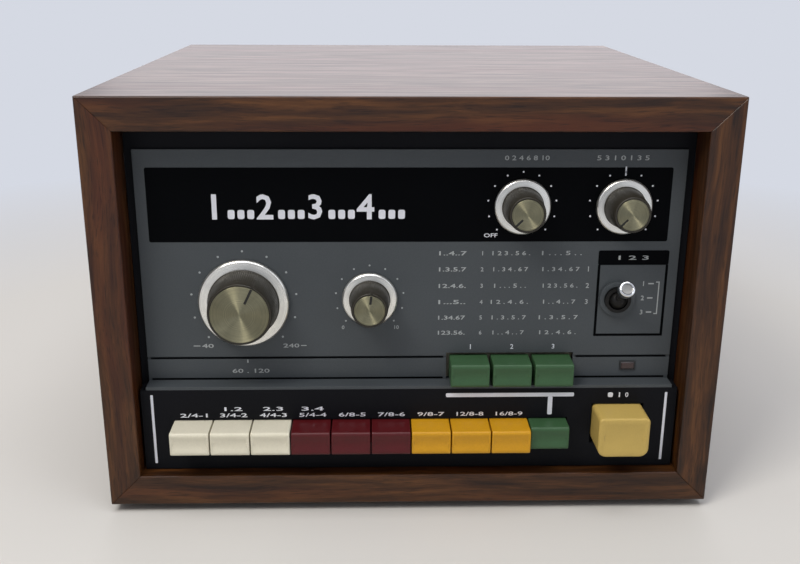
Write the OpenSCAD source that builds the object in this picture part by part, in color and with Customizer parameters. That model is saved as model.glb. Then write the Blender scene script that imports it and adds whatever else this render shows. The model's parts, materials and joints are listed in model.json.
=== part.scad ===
// Drum machine: a rhythm unit in a mitred wooden sleeve, with knobs, a toggle and rows of tab keys.
// Millimetres. Z is up, the front looks along -Y, the origin is below the middle, where the feet stand.

/* [Cabinet] */
// Outside width of the wooden sleeve
cab_w = 285; // [275:1:330]
// Outside height of the sleeve, without the feet
cab_h = 193; // [188:1:240]
// Outside depth of the sleeve
cab_d = 280; // [250:1:340]
// Thickness of the four boards
board_t = 15; // [12:0.5:18]
// Leg of the triangular glue blocks in the corners
block_leg = 12; // [10:0.5:14]
// Height of the rubber feet
foot_h = 4; // [3:0.5:12]
// Radius of the rubber feet
foot_r = 11; // [8:0.5:15]
// Distance of the feet from the outside faces of the sleeve
foot_inset = 24; // [20:1:40]

/* [Faceplate] */
// Depth of the faceplate behind the front edge of the sleeve
face_recess = 15; // [12:0.5:22]
// Thickness of the faceplate, the key panel, the frame and the chassis sheet
sheet_t = 1.5; // [1:0.1:2]
// Dark gap at each side of the faceplate
face_side_gap = 4; // [2:0.5:5]
// Dark gap above the faceplate
face_top_gap = 10; // [4:0.5:12]
// How far the key panel stands in front of the faceplate
ledge_step = 8; // [7.5:0.5:11]
// Height of the ledge above the inside of the bottom board
ledge_h = 42.7; // [40:0.1:46]
// Height of the score line above the ledge
score_h = 11.4; // [8:0.1:11.6]
// Width of the score line
score_w = 1.2; // [0.8:0.1:1.6]
// Depth of the score line
score_depth = 0.4; // [0.2:0.1:0.6]
// Gap at each side of the key panel
key_panel_gap = 1.3; // [0.5:0.1:3]
// Gap that lets the chassis slide into the sleeve
sleeve_fit = 0.4; // [0.2:0.1:1]

/* [Knobs] */
// Radius of the silver ring of a small knob
small_ring_r = 12.8; // [12:0.1:15]
// Radius of the silver ring of the large knob
large_ring_r = 20.9; // [18:0.1:24]
// Radius of a small knob where it meets its ring
small_body_r = 9.5; // [9:0.1:11]
// Radius of the large knob where it meets its ring
large_body_r = 16.5; // [14:0.1:17]
// Radius of the metal cap of a small knob
small_cap_r = 6.9; // [6:0.1:7.5]
// Radius of the metal cap of the large knob
large_cap_r = 13.2; // [11:0.1:13.5]
// Black rim around a metal cap
cap_rim = 1.2; // [0.8:0.1:1.5]
// Height of a knob from the faceplate to its front
knob_h = 18; // [16:0.5:22]
// Thickness of a silver ring
ring_t = 3; // [2.5:0.1:4]
// Thickness of a metal cap
cap_t = 0.8; // [0.5:0.1:1.2]
// Width of the pointer line in a cap
pointer_w = 1.1; // [0.8:0.1:1.6]
// Gap between a turning knob and the faceplate
knob_gap = 0.5; // [0.3:0.1:1]
// Radius of a knob's shaft
shaft_r = 3; // [2.5:0.1:3]
// Radius of the threaded bush that a shaft turns in
bush_r = 3.6; // [3.5:0.1:3.8]
// How far a bush stands out of the faceplate
bush_out = 5; // [4:0.5:6]
// Radius of the can of a potentiometer
pot_r = 12; // [10:0.5:13]
// Depth of the can of a potentiometer
pot_depth = 11; // [9:0.5:16]
// Travel of a potentiometer, in degrees
pot_travel = 270; // [260:5:300]

/* [Knob places] */
// Balance knob, from the right end of the faceplate
balance_inset = 27.5; // [26:0.5:31]
// Volume knob, from the balance knob
volume_spacing = 46; // [42:0.5:50]
// Both small knobs of the header, above the ledge
header_h = 84.6; // [80:0.1:86]
// Tempo knob, from the left end of the faceplate
tempo_inset = 46.5; // [40:0.5:52]
// Tempo knob, above the ledge
tempo_h = 39.2; // [36:0.1:44]
// Fade knob, from the tempo knob
fade_spacing = 58; // [52:0.5:62]
// Fade knob, above the ledge
fade_h = 40.9; // [38:0.1:46]

/* [Toggle] */
// Toggle, from the right end of the faceplate
toggle_inset = 27.5; // [24:0.5:31]
// Toggle, above the ledge
toggle_h = 40.5; // [38:0.1:44]
// Length of the toggle's handle from its pivot
toggle_len = 19; // [16:0.5:24]
// Radius of the handle's end
toggle_tip_r = 3.8; // [3:0.1:4.5]
// Radius of the handle where it leaves the ball
toggle_neck_r = 1.9; // [1.5:0.1:2.4]
// Tilt of the handle to each side of its middle place, in degrees
toggle_tilt = 34; // [15:1:36]
// Radius of the threaded bush of the toggle
toggle_bush_r = 6; // [5.6:0.1:6.5]
// Radius of the ball that the handle turns on
toggle_ball_r = 4.2; // [3.6:0.1:4.5]

/* [Keys] */
// Gap between one key of the long row and the next
key_split = 0.6; // [0.4:0.1:2]
// Height of a tab key
key_h = 11.4; // [10:0.1:12.4]
// How far a tab key stands out of its panel
key_out = 14; // [11:0.5:16]
// Left end of the long row, from the left end of the key panel
key_row_inset = 14.9; // [13:0.1:20]
// Bottom of the long row, above the inside of the bottom board
key_row_h = 14.1; // [13.5:0.1:17]
// Gap between one selector key and the next
selector_split = 1.6; // [0.8:0.1:2.5]
// How far the selector keys reach past the right end of the long row
selector_reach = 1.7; // [0:0.1:4]
// How far a selector key stands out of the faceplate
selector_out = 12; // [10:0.5:14]
// Gap between the selector keys and the ledge below them
selector_lift = 0.5; // [0.3:0.1:0.8]
// Black gap around the selector keys
selector_gap = 1.5; // [0.6:0.1:1.6]
// Travel of every key
key_travel = 4; // [3:0.5:4.5]
// Gap between a key and its window
key_gap = 0.5; // [0.3:0.1:1]
// Round of a key's front edges
key_round = 1.4; // [0.8:0.1:2]
// Depth of the dish in a key's front
dish_depth = 0.6; // [0.3:0.1:1]
// Rim around the dish
dish_rim = 1.4; // [1:0.1:2]
// Width of the start key
start_w = 23.8; // [20:0.1:25]
// Height of the start key
start_key_h = 19.6; // [17:0.1:20.5]
// How far the start key stands out of its panel
start_out = 16; // [14:0.5:18]
// Gap between the long row and the start key
start_split = 12.4; // [10:0.1:16]
// Right end of the start key, from the right end of the key panel
start_inset = 15.9; // [14:0.1:18]
// Bottom of the start key, above the inside of the bottom board
start_h = 13; // [12:0.1:15]
// Round of the start key's lower corners
start_corner = 4.2; // [3:0.1:6]
// Width of the plunger behind a key
stem_w = 6; // [5:0.1:7]
// Height of the plunger behind a key
stem_h = 3; // [2.4:0.1:4]
// Length of a plunger inside its switch
stem_hold = 18; // [15:1:20]
// Gap around a plunger in its switch
stem_gap = 0.3; // [0.2:0.05:0.4]
// Depth of the switches
switch_depth = 28; // [26:1:32]
// Height of the switches
switch_h = 15; // [12:0.5:15.5]

/* [Lamp] */
// Tempo lamp, from the right end of the faceplate
lamp_inset = 19.9; // [17:0.1:24]
// Tempo lamp, above the ledge
lamp_h = 6.7; // [6:0.1:7.5]
// Width of the lamp's lens
lamp_w = 6; // [4:0.1:8]
// Height of the lamp's lens
lamp_lens_h = 3; // [2.4:0.1:4]

/* [Rear] */
// Depth of the rear cover inside the sleeve
rear_recess = 10; // [8:0.5:14]
// Bore of an output jack, for a plug of 6.35
jack_bore_r = 3.25; // [3.2:0.01:3.4]
// Distance between the two output jacks
jack_pitch = 30; // [26:1:36]
// Outer jack, from the inside of the right board
jack_inset = 42.5; // [36:0.5:48]
// Radius of the bore for the mains lead
gland_bore_r = 3.75; // [3:0.05:4.5]
// Bush for the mains lead, from the inside of the left board
gland_inset = 35.5; // [30:0.5:44]
// Fuse holder, from the bush for the mains lead
fuse_spacing = 30; // [26:0.5:36]
// Height of the jacks, the gland and the fuse above the inside of the bottom board
rear_row_h = 40; // [36:1:60]
// Number of ventilation slots
vent_count = 9; // [3:1:11]

/* [Electronics] */
// Gap between the rhythm board and the power board
board_gap = 9; // [4:0.5:20]
// Depth of the rhythm board
board_d = 110; // [90:1:120]
// Height of the standoffs under the boards
standoff_h = 8; // [6:0.5:12]
// Width of the transformer's iron core
core_w = 52; // [44:1:56]
// Height of the transformer's iron core
core_h = 44; // [38:1:50]
// Depth of the transformer's iron core
core_d = 22; // [18:1:26]

/* [Hidden] */
$fn = 48;

// Places that the pieces share
key_recess = face_recess - ledge_step;
cap_sink = 0.6;
toggle_pivot_out = 2.5;
knob_reach = knob_h - cap_sink + cap_t;
toggle_reach = toggle_pivot_out + toggle_len * cos(toggle_tilt) + toggle_tip_r * sin(toggle_tilt);
front_reach = max(0, start_out - key_recess, key_out - key_recess,
    max(selector_out, knob_reach, toggle_reach) - face_recess);
front_y = -(cab_d - front_reach) / 2;
rear_y = front_y + cab_d;
in_w = cab_w - 2 * board_t;
floor_z = foot_h + board_t;
roof_z = foot_h + cab_h - board_t;
face_y = front_y + face_recess;
key_y = front_y + key_recess;
frame_y = face_y + sheet_t;
back_y = frame_y + sheet_t;
face_w = in_w - 2 * face_side_gap;
face_top_z = roof_z - face_top_gap;
ledge_z = floor_z + ledge_h;
key_panel_w = in_w - 2 * key_panel_gap;
balance_x = face_w / 2 - balance_inset;
volume_x = balance_x - volume_spacing;
tempo_x = -face_w / 2 + tempo_inset;
fade_x = tempo_x + fade_spacing;
toggle_x = face_w / 2 - toggle_inset;
lamp_x = face_w / 2 - lamp_inset;
cover_y = rear_y - rear_recess;
inside_y = cover_y - sheet_t;
seat_gap = 0.05;
weld = 0.01;

// Clearances and small hardware
screw_r = 1.6;
bolt_r = 2;
head_h = 1.8;
head_r = 3.4;
nut_t = 2;
nut_r = 5.6;
stud_r = 1.5;
stud_nut_r = 3;
hole_gap = 0.3;
run_gap = 0.05;
stop_gap = 0.5;

// Colours seen in the photo
walnut = "#543624";
panel_grey = "#44494c";
panel_black = "#17181b";
silver = "#d9d6cf";
steel = "#9da0a3";
zinc = "#b9b8b0";
key_cream = "#e9e5d2";
key_red = "#5c1824";
key_yellow = "#dd9c1c";
key_green = "#3f7d4c";
start_yellow = "#e0c774";

// ---- helpers ----

// Puts children on a panel face: their X stays, their Y is up and their Z comes out towards the viewer
module on_face(x, z, y) {
    translate([x, y, z]) rotate([90, 0, 0]) children();
}

// Round bar along +Y from y, for a length
module bar_y(x, y, z, r, length) {
    translate([x, y, z]) rotate([-90, 0, 0]) cylinder(r = r, h = length);
}

// Blind hole up into a piece whose underside is at z
module pocket_z(x, y, z, r, depth) {
    translate([x, y, z - 1]) cylinder(r = r, h = depth + 1);
}

// Hole along +Z through a sheet that starts at z, with 1 mm to spare at each end
module hole_z(x, y, z, r, sheet) {
    pocket_z(x, y, z, r, sheet + 1);
}

// Hole along +Y through a sheet that starts at y, with 1 mm to spare at each end
module hole_y(x, y, z, r, sheet) {
    bar_y(x, y - 1, z, r, sheet + 2);
}

// Box from its lowest corner's X and Z, and a stretch of Y
module box(x, y, z, w, d, h) {
    translate([x, y, z]) cube([w, d, h]);
}

// Box that is centred on x and z, from y for a depth
module box_y(x, y, z, w, d, h) {
    translate([x - w / 2, y, z - h / 2]) cube([w, d, h]);
}

function arc(c, r, a0, a1, n = 8) =
    [for (i = [0:n]) c + r * [cos(a0 + (a1 - a0) * i / n), sin(a0 + (a1 - a0) * i / n)]];

// ---- cabinet ----

cab_mid_z = foot_h + cab_h / 2;
bolt_x = in_w / 2 - block_leg - 12;
bolt_front_y = back_y + 24;
bolt_rear_y = cover_y - 30;
bolt_places = [for (x = [-bolt_x, bolt_x], y = [bolt_front_y, bolt_rear_y]) [x, y]];
foot_places = [for (x = [-1, 1], y = [0, 1])
    [x * (cab_w / 2 - foot_inset), y == 0 ? front_y + foot_inset : rear_y - foot_inset]];
foot_screw_hold = 9;
foot_head_h = min(head_h, foot_h / 2 - 0.2);
bolt_head_h = 2.6;
bolt_head_r = 4;

// Mitred board across the top, its outside up, centred on the sleeve's middle
module mitred_board(width, half) {
    translate([0, rear_y, cab_mid_z]) rotate([90, 0, 0]) linear_extrude(height = cab_d)
        polygon([[-width / 2, half], [width / 2, half],
                 [width / 2 - board_t, half - board_t], [-width / 2 + board_t, half - board_t]]);
}

module cabinet_top() {
    color(walnut) mitred_board(cab_w, cab_h / 2);
}

module cabinet_bottom() {
    color(walnut) difference() {
        translate([0, 0, 2 * cab_mid_z]) mirror([0, 0, 1]) mitred_board(cab_w, cab_h / 2);
        for (p = bolt_places) {
            hole_z(p[0], p[1], foot_h, bolt_r + hole_gap, board_t);
            pocket_z(p[0], p[1], foot_h, bolt_head_r + hole_gap, bolt_head_h + hole_gap);
        }
        for (p = foot_places) pocket_z(p[0], p[1], foot_h, screw_r + seat_gap, foot_screw_hold + hole_gap);
    }
}

// Side board: the board across the top turned a quarter about the sleeve's long axis
module side_board(side) {
    color(walnut) translate([0, 0, cab_mid_z]) rotate([0, side * 90, 0]) translate([0, 0, -cab_mid_z])
        mitred_board(cab_h, cab_w / 2);
}

module cabinet_left() {
    side_board(-1);
}

module cabinet_right() {
    side_board(1);
}

rear_screw_hold = 14;
block_third = block_leg / 3;
rear_screw_places = [for (x = [-1, 1], z = [floor_z + block_third, roof_z - block_third])
    [x * (in_w / 2 - block_third), z]];

// Triangular glue block along one corner, sx and sz point from the corner into the sleeve
module corner_block(x, z, sx, sz) {
    translate([x, inside_y, z]) rotate([90, 0, 0]) linear_extrude(height = inside_y - back_y)
        polygon([[0, 0], [sx * block_leg, 0], [0, sz * block_leg]]);
}

module corner_blocks() {
    color("#8a6a48") difference() {
        union() {
            corner_block(-in_w / 2, floor_z, 1, 1);
            corner_block(in_w / 2, floor_z, -1, 1);
            corner_block(-in_w / 2, roof_z, 1, -1);
            corner_block(in_w / 2, roof_z, -1, -1);
        }
        for (p = rear_screw_places)
            hole_y(p[0], inside_y - rear_screw_hold, p[1], screw_r + seat_gap, rear_screw_hold);
    }
}

module rubber_feet() {
    bevel = 1;
    color("#202022") for (p = foot_places) translate([p[0], p[1], 0]) difference() {
        union() {
            cylinder(r1 = foot_r - bevel, r2 = foot_r, h = bevel);
            translate([0, 0, bevel]) cylinder(r = foot_r, h = foot_h - bevel);
        }
        hole_z(0, 0, 0, screw_r + seat_gap, foot_h);
        pocket_z(0, 0, 0, head_r + hole_gap, foot_h / 2);
    }
}

module feet_screws() {
    color(steel) for (p = foot_places) translate([p[0], p[1], foot_h / 2]) {
        translate([0, 0, -foot_head_h]) cylinder(r = head_r, h = foot_head_h);
        cylinder(r = screw_r, h = foot_h / 2 + foot_screw_hold);
    }
}

// ---- chassis ----

flange_h = 8;
chassis_w = in_w - 2 * block_leg - 2;

module chassis_base() {
    color(zinc) difference() {
        union() {
            box(-chassis_w / 2, back_y, floor_z, chassis_w, inside_y - back_y, sheet_t);
            box(-chassis_w / 2, back_y, floor_z, chassis_w, sheet_t, flange_h);
            box(-chassis_w / 2, inside_y - sheet_t, floor_z, chassis_w, sheet_t, flange_h);
        }
        for (p = bolt_places) hole_z(p[0], p[1], floor_z, bolt_r + hole_gap, sheet_t);
        for (p = standoff_places) hole_z(p[0], p[1], floor_z, screw_r + seat_gap, sheet_t);
        for (x = core_ears) hole_z(x, core_y, floor_z, screw_r + seat_gap, sheet_t);
    }
}

bolt_nut_t = 3.2;
bolt_nut_r = 3.9;
bolt_spare = 1;

module chassis_bolts() {
    color(steel) for (p = bolt_places) translate([p[0], p[1], 0]) {
        translate([0, 0, foot_h + hole_gap]) cylinder(r = bolt_head_r, h = bolt_head_h);
        translate([0, 0, foot_h + hole_gap + bolt_head_h - weld])
            cylinder(r = bolt_r, h = board_t - bolt_head_h + sheet_t + bolt_nut_t + bolt_spare);
        translate([0, 0, floor_z + sheet_t]) difference() {
            cylinder(r = bolt_nut_r, h = bolt_nut_t, $fn = 6);
            hole_z(0, 0, 0, bolt_r + seat_gap, bolt_nut_t);
        }
    }
}

// ---- front panels ----

// Heights of the controls, and where each knob stands as [x, z]
volume_z = ledge_z + header_h;
tempo_z = ledge_z + tempo_h;
fade_z = ledge_z + fade_h;
toggle_z = ledge_z + toggle_h;
lamp_z = ledge_z + lamp_h;
pot_places = [[volume_x, volume_z], [balance_x, volume_z], [tempo_x, tempo_z], [fade_x, fade_z]];
key_count = 10;
key_row_left = -key_panel_w / 2 + key_row_inset;
key_row_w = key_panel_w - key_row_inset - start_split - start_w - start_inset;
key_row_x = key_row_left + key_row_w / 2;
key_w = (key_row_w - (key_count - 1) * key_split) / key_count;
start_x = key_panel_w / 2 - start_inset - start_w / 2;
selector_w = 3 * key_w + 2 * selector_split;
selector_x = key_row_left + key_row_w + selector_reach - selector_w / 2;
key_mid_z = floor_z + key_row_h + key_h / 2;
start_mid_z = floor_z + start_h + start_key_h / 2;
selector_mid_z = ledge_z + selector_lift + key_h / 2;
selector_window_w = selector_w + 2 * selector_gap;
selector_window_h = selector_lift + key_h + selector_gap;
key_slot_w = key_row_w + 2 * key_gap;

function key_x(i) = key_row_left + key_w / 2 + (i - 1) * (key_w + key_split);
function selector_key_x(i) = selector_x + (i - 2) * (key_w + selector_split);

// Studs of the faceplate and of the key panel, as [x, z]
face_stud_x = face_w / 2 - 7;
face_studs = [for (x = [-face_stud_x, face_stud_x], z = [ledge_z + 20, face_top_z - 8]) [x, z]];
key_stud_x = key_panel_w / 2 - 6;
key_studs = [for (x = [-key_stud_x, key_stud_x], z = [floor_z + 18, floor_z + 33]) [x, z]];
studs = concat(face_studs, key_studs);
stud_end = sheet_t + nut_t + 1;

// Holes that both the faceplate and the frame behind it have
module control_holes() {
    for (p = pot_places) hole_y(p[0], face_y, p[1], bush_r + hole_gap, 2 * sheet_t);
    hole_y(toggle_x, face_y, toggle_z, toggle_bush_r + hole_gap, 2 * sheet_t);
    box(selector_x - selector_window_w / 2, face_y - 1, ledge_z, selector_window_w, 2 * sheet_t + 2,
        selector_window_h);
    box_y(lamp_x, face_y - 1, lamp_z, lamp_w + 2 * seat_gap, 2 * sheet_t + 2, lamp_lens_h + 2 * seat_gap);
}

module front_panel() {
    color(panel_grey) {
        difference() {
            union() {
                box(-face_w / 2, face_y, ledge_z - sheet_t, face_w, sheet_t, face_top_z - ledge_z + sheet_t);
                box(-face_w / 2, key_y, ledge_z - sheet_t, face_w, ledge_step + weld, sheet_t);
            }
            control_holes();
            box_y(0, face_y - 1, ledge_z + score_h, face_w + 2, 1 + score_depth, score_w);
        }
        for (p = face_studs) bar_y(p[0], frame_y - weld, p[1], stud_r, stud_end + weld);
    }
}

// Upright sheet that fills the sleeve from side to side and stands on its floor
module sleeve_plate(y) {
    box(-in_w / 2 + sleeve_fit, y, floor_z, in_w - 2 * sleeve_fit, sheet_t, roof_z - floor_z - sleeve_fit);
}

module panel_frame() {
    color(panel_black) difference() {
        sleeve_plate(frame_y);
        control_holes();
        for (p = studs) hole_y(p[0], frame_y, p[1], stud_r + hole_gap, sheet_t);
        for (i = [1:key_count]) stem_slot(key_x(i), key_mid_z);
        stem_slot(start_x, start_mid_z);
    }
}

// Slot in the frame for one key's plunger
module stem_slot(x, z) {
    box_y(x, frame_y - 1, z, stem_w + 2 * stem_gap, sheet_t + 2, stem_h + 2 * stem_gap);
}

module key_panel() {
    panel_h = ledge_h - sheet_t - sleeve_fit;
    stud_y = key_y + sheet_t - weld;
    color(panel_black) {
        difference() {
            union() {
                box(-key_panel_w / 2, key_y, floor_z + sleeve_fit, key_panel_w, sheet_t, panel_h);
                for (x = [-key_panel_w / 2, key_panel_w / 2 - sheet_t])
                    box(x, key_y, floor_z + sleeve_fit, sheet_t, frame_y - key_y, panel_h);
            }
            box_y(key_row_x, key_y - 1, key_mid_z, key_slot_w, sheet_t + 2, key_h + 2 * key_gap);
            box_y(start_x, key_y - 1, start_mid_z, start_w + 2 * key_gap, sheet_t + 2,
                start_key_h + 2 * key_gap);
        }
        for (p = key_studs) bar_y(p[0], stud_y, p[1], stud_r, frame_y + stud_end - stud_y);
    }
}

module panel_nuts() {
    color(steel) for (p = studs) difference() {
        translate([p[0], back_y, p[1]]) rotate([-90, 0, 0]) cylinder(r = stud_nut_r, h = nut_t, $fn = 6);
        hole_y(p[0], back_y, p[1], stud_r + seat_gap, nut_t);
    }
}

// ---- rotary controls ----

pot_hold = 4;
toggle_nut_r = toggle_bush_r + 2.2;
nut_pocket_r = nut_r + 2 * hole_gap;
nut_pocket_h = bush_out + 2 * hole_gap;
shaft_out = knob_h - 4;
pot_switch_depth = 12;
pot_switch_step = 1;
pot_lug = [2, 8, 0.8];
pot_lug_out = 5;
pot_lug_back = 5;
pot_lug_pitch = 5;

module potentiometers() {
    color(steel) for (i = [0:3]) {
        p = pot_places[i];
        is_switched = i == 0;
        on_face(p[0], p[1], back_y) difference() {
            union() {
                translate([0, 0, -pot_depth]) cylinder(r = pot_r, h = pot_depth);
                translate([0, 0, -weld]) cylinder(r = bush_r, h = 2 * sheet_t + bush_out + weld);
                if (is_switched) translate([0, 0, -pot_depth - pot_switch_depth])
                    cylinder(r = pot_r - pot_switch_step, h = pot_switch_depth + weld);
                for (k = [-1:1])
                    translate([k * pot_lug_pitch - pot_lug[0] / 2, -pot_r - pot_lug_out, -pot_lug_back])
                        cube(pot_lug);
            }
            translate([0, 0, -pot_hold - hole_gap])
                cylinder(r = shaft_r + run_gap, h = pot_hold + hole_gap + 2 * sheet_t + bush_out + 1);
        }
    }
}

module control_nuts() {
    color(zinc) {
        for (p = pot_places) on_face(p[0], p[1], face_y) difference() {
            cylinder(r = nut_r, h = nut_t, $fn = 6);
            hole_z(0, 0, 0, bush_r + seat_gap, nut_t);
        }
        on_face(toggle_x, toggle_z, face_y) difference() {
            cylinder(r = toggle_nut_r, h = nut_t);
            hole_z(0, 0, 0, toggle_bush_r + seat_gap, nut_t);
        }
    }
}

// Knob of black plastic: it tapers from the ring to the rim of its cap, with a pocket over the nut
module knob(x, z, body_r, cap_r, angle) {
    color(panel_black) on_face(x, z, face_y) rotate([0, 0, -angle]) difference() {
        union() {
            translate([0, 0, knob_gap]) cylinder(r = body_r, h = ring_t);
            translate([0, 0, knob_gap + ring_t - weld])
                cylinder(r1 = body_r, r2 = cap_r + cap_rim, h = knob_h - knob_gap - ring_t);
        }
        translate([0, 0, -1]) cylinder(r = nut_pocket_r, h = nut_pocket_h + 1);
        cylinder(r = shaft_r + run_gap, h = shaft_out + hole_gap);
        translate([0, 0, knob_h - cap_sink]) cylinder(r = cap_r + run_gap, h = cap_sink + 1);
        translate([-pointer_w / 2, cap_r, knob_h - 2 * cap_sink])
            cube([pointer_w, 2 * cap_rim, 3 * cap_sink]);
    }
}

// Silver ring at the foot of a knob, its outer edge rolled over
module knob_ring(x, z, body_r, ring_r) {
    roll = ring_t / 2;
    color(silver) on_face(x, z, face_y) translate([0, 0, knob_gap]) rotate_extrude()
        polygon(concat([[body_r + seat_gap, 0]],
                       arc([ring_r - roll, roll], roll, -90, 60),
                       [[body_r + seat_gap, ring_t]]));
}

// Metal cap let into the knob's front, with the pointer line cut into it
module knob_cap(x, z, cap_r, angle) {
    pointer_start = 0.42 * cap_r;
    color("#b5b1a2") on_face(x, z, face_y) rotate([0, 0, -angle]) difference() {
        translate([0, 0, knob_h - cap_sink]) cylinder(r = cap_r, h = cap_t);
        translate([-pointer_w / 2, pointer_start, knob_h - cap_sink + cap_t / 2])
            cube([pointer_w, cap_r, cap_t]);
    }
}

module knob_shaft(x, z) {
    inner = 2 * sheet_t + pot_hold;
    color(steel) on_face(x, z, face_y) translate([0, 0, -inner]) cylinder(r = shaft_r, h = inner + shaft_out);
}

// Where each pointer stands in the photo, in degrees clockwise from the top
volume_angle = -pot_travel / 2;
balance_angle = -pot_travel / 2;
tempo_angle = 26;
fade_angle = 7;

module volume_knob() { knob(volume_x, volume_z, small_body_r, small_cap_r, volume_angle); }
module volume_ring() { knob_ring(volume_x, volume_z, small_body_r, small_ring_r); }
module volume_cap() { knob_cap(volume_x, volume_z, small_cap_r, volume_angle); }
module volume_shaft() { knob_shaft(volume_x, volume_z); }
module balance_knob() { knob(balance_x, volume_z, small_body_r, small_cap_r, balance_angle); }
module balance_ring() { knob_ring(balance_x, volume_z, small_body_r, small_ring_r); }
module balance_cap() { knob_cap(balance_x, volume_z, small_cap_r, balance_angle); }
module balance_shaft() { knob_shaft(balance_x, volume_z); }
module tempo_knob() { knob(tempo_x, tempo_z, large_body_r, large_cap_r, tempo_angle); }
module tempo_ring() { knob_ring(tempo_x, tempo_z, large_body_r, large_ring_r); }
module tempo_cap() { knob_cap(tempo_x, tempo_z, large_cap_r, tempo_angle); }
module tempo_shaft() { knob_shaft(tempo_x, tempo_z); }
module fade_knob() { knob(fade_x, fade_z, small_body_r, small_cap_r, fade_angle); }
module fade_ring() { knob_ring(fade_x, fade_z, small_body_r, small_ring_r); }
module fade_cap() { knob_cap(fade_x, fade_z, small_cap_r, fade_angle); }
module fade_shaft() { knob_shaft(fade_x, fade_z); }

// ---- toggle ----

toggle_bush_out = 4;
toggle_bore_r = toggle_ball_r + hole_gap;
toggle_bore_in = 3;
toggle_pin_r = 0.9;
toggle_pin_wall = 0.4;
toggle_tail = toggle_ball_r + 1;
toggle_tail_r = 1.2;
toggle_tip_h = 5;
toggle_tip_round = 1;
toggle_body = [16, 28, 20];
toggle_lug = [2, 0.8, 5];

module toggle_switch() {
    color("#8c2f22") on_face(toggle_x, toggle_z, back_y) difference() {
        union() {
            translate([-toggle_body[0] / 2, -toggle_body[1] / 2, -toggle_body[2]]) cube(toggle_body);
            translate([0, 0, -weld]) cylinder(r = toggle_bush_r, h = 2 * sheet_t + toggle_bush_out + weld);
            for (x = [-1, 1], y = [-1:1]) translate([x * toggle_body[0] / 4, y * toggle_body[1] / 3.5,
                -toggle_body[2]]) translate([-toggle_lug[0] / 2, -toggle_lug[1] / 2, -toggle_lug[2]])
                cube(toggle_lug + [0, 0, weld]);
        }
        translate([0, 0, -toggle_bore_in])
            cylinder(r = toggle_bore_r, h = toggle_bore_in + 2 * sheet_t + toggle_bush_out + 1);
    }
    color(steel) toggle_pin(toggle_pin_r, toggle_bush_r - toggle_pin_wall);
}

// Cross pin that the handle tilts on, along X
module toggle_pin(r, half) {
    translate([toggle_x - half, face_y - toggle_pivot_out, toggle_z]) rotate([0, 90, 0])
        cylinder(r = r, h = 2 * half);
}

// Handle, tilted up as in the photo: a tail, a ball on the cross pin, a waist, and a flat-ended tip
module toggle_lever() {
    color(silver) difference() {
        on_face(toggle_x, toggle_z, face_y - toggle_pivot_out) rotate([-toggle_tilt, 0, 0])
            rotate_extrude() polygon(concat(
                [[0, -toggle_tail], [toggle_tail_r, -toggle_tail]],
                arc([0, 0], toggle_ball_r, -acos(toggle_tail_r / toggle_ball_r),
                    acos(toggle_neck_r / toggle_ball_r), 14),
                [[toggle_neck_r, toggle_ball_r], [toggle_tip_r, toggle_len - toggle_tip_h]],
                arc([toggle_tip_r - toggle_tip_round, toggle_len - toggle_tip_round], toggle_tip_round,
                    0, 90, 4),
                [[0, toggle_len]]));
        toggle_pin(toggle_pin_r + run_gap, toggle_bore_r + 1);
    }
}

// ---- keys ----

cap_in = sheet_t + 1;
selector_cap_in = 2 * sheet_t - 1;
switch_y = back_y;
selector_switch_y = face_y + selector_cap_in + key_travel + stop_gap;

// Side outline of a key: x comes out of the panel, y is up, and the front edges are round
module key_side(inner, outer, h) {
    polygon(concat(
        [[-inner, -h / 2]],
        arc([outer - key_round, -h / 2 + key_round], key_round, -90, 0, 5),
        arc([outer - key_round, h / 2 - key_round], key_round, 0, 90, 5),
        [[-inner, h / 2]]));
}

// Front outline of the start key: its lower corners are cut round more than its upper ones
module start_front() {
    w = start_w / 2;
    h = start_key_h / 2;
    polygon(concat(
        arc([w - start_corner, -h + start_corner], start_corner, -90, 0, 6),
        arc([w - key_round, h - key_round], key_round, 0, 90, 4),
        arc([-w + key_round, h - key_round], key_round, 90, 180, 4),
        arc([-w + start_corner, -h + start_corner], start_corner, 180, 270, 6)));
}

// Plunger behind a key, from the back of the cap into its switch
module stem(inner, length) {
    translate([-stem_w / 2, -stem_h / 2, -inner - length]) cube([stem_w, stem_h, length + weld]);
}

// Tab key on a panel at y: out is how far it stands out and inner how far it goes in
module tab_key(x, z, y, out, inner, stem_length, tint) {
    dish_span = key_h - 2 * dish_rim;
    dish_r = (pow(dish_span / 2, 2) + pow(dish_depth, 2)) / (2 * dish_depth);
    color(tint) on_face(x, z, y) {
        difference() {
            rotate([0, -90, 0]) linear_extrude(height = key_w, center = true) key_side(inner, out, key_h);
            translate([-key_w / 2 + dish_rim, 0, out - dish_depth + dish_r]) rotate([0, 90, 0])
                cylinder(r = dish_r, h = key_w - 2 * dish_rim, $fn = 96);
        }
        stem(inner, stem_length);
    }
}

key_stem = switch_y + stem_hold - key_y - cap_in;
selector_stem = selector_switch_y + stem_hold - face_y - selector_cap_in;
latched_key = 10;
key_tints = [key_cream, key_cream, key_cream, key_red, key_red, key_red, key_yellow, key_yellow, key_yellow,
    key_green];

// Key i of the long row; the latched one stands in by the travel
module rhythm_key(i) {
    pressed = i == latched_key ? key_travel : 0;
    tab_key(key_x(i), key_mid_z, key_y + pressed, key_out, cap_in, key_stem, key_tints[i - 1]);
}

module selector_key(i) {
    tab_key(selector_key_x(i), selector_mid_z, face_y, selector_out, selector_cap_in, selector_stem,
        key_green);
}

module start_key() {
    color(start_yellow) on_face(start_x, start_mid_z, key_y) {
        intersection() {
            rotate([0, -90, 0]) linear_extrude(height = start_w, center = true)
                key_side(cap_in, start_out, start_key_h);
            translate([0, 0, -cap_in]) linear_extrude(height = cap_in + start_out) start_front();
        }
        stem(cap_in, key_stem);
    }
}

// ---- switches ----

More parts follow.
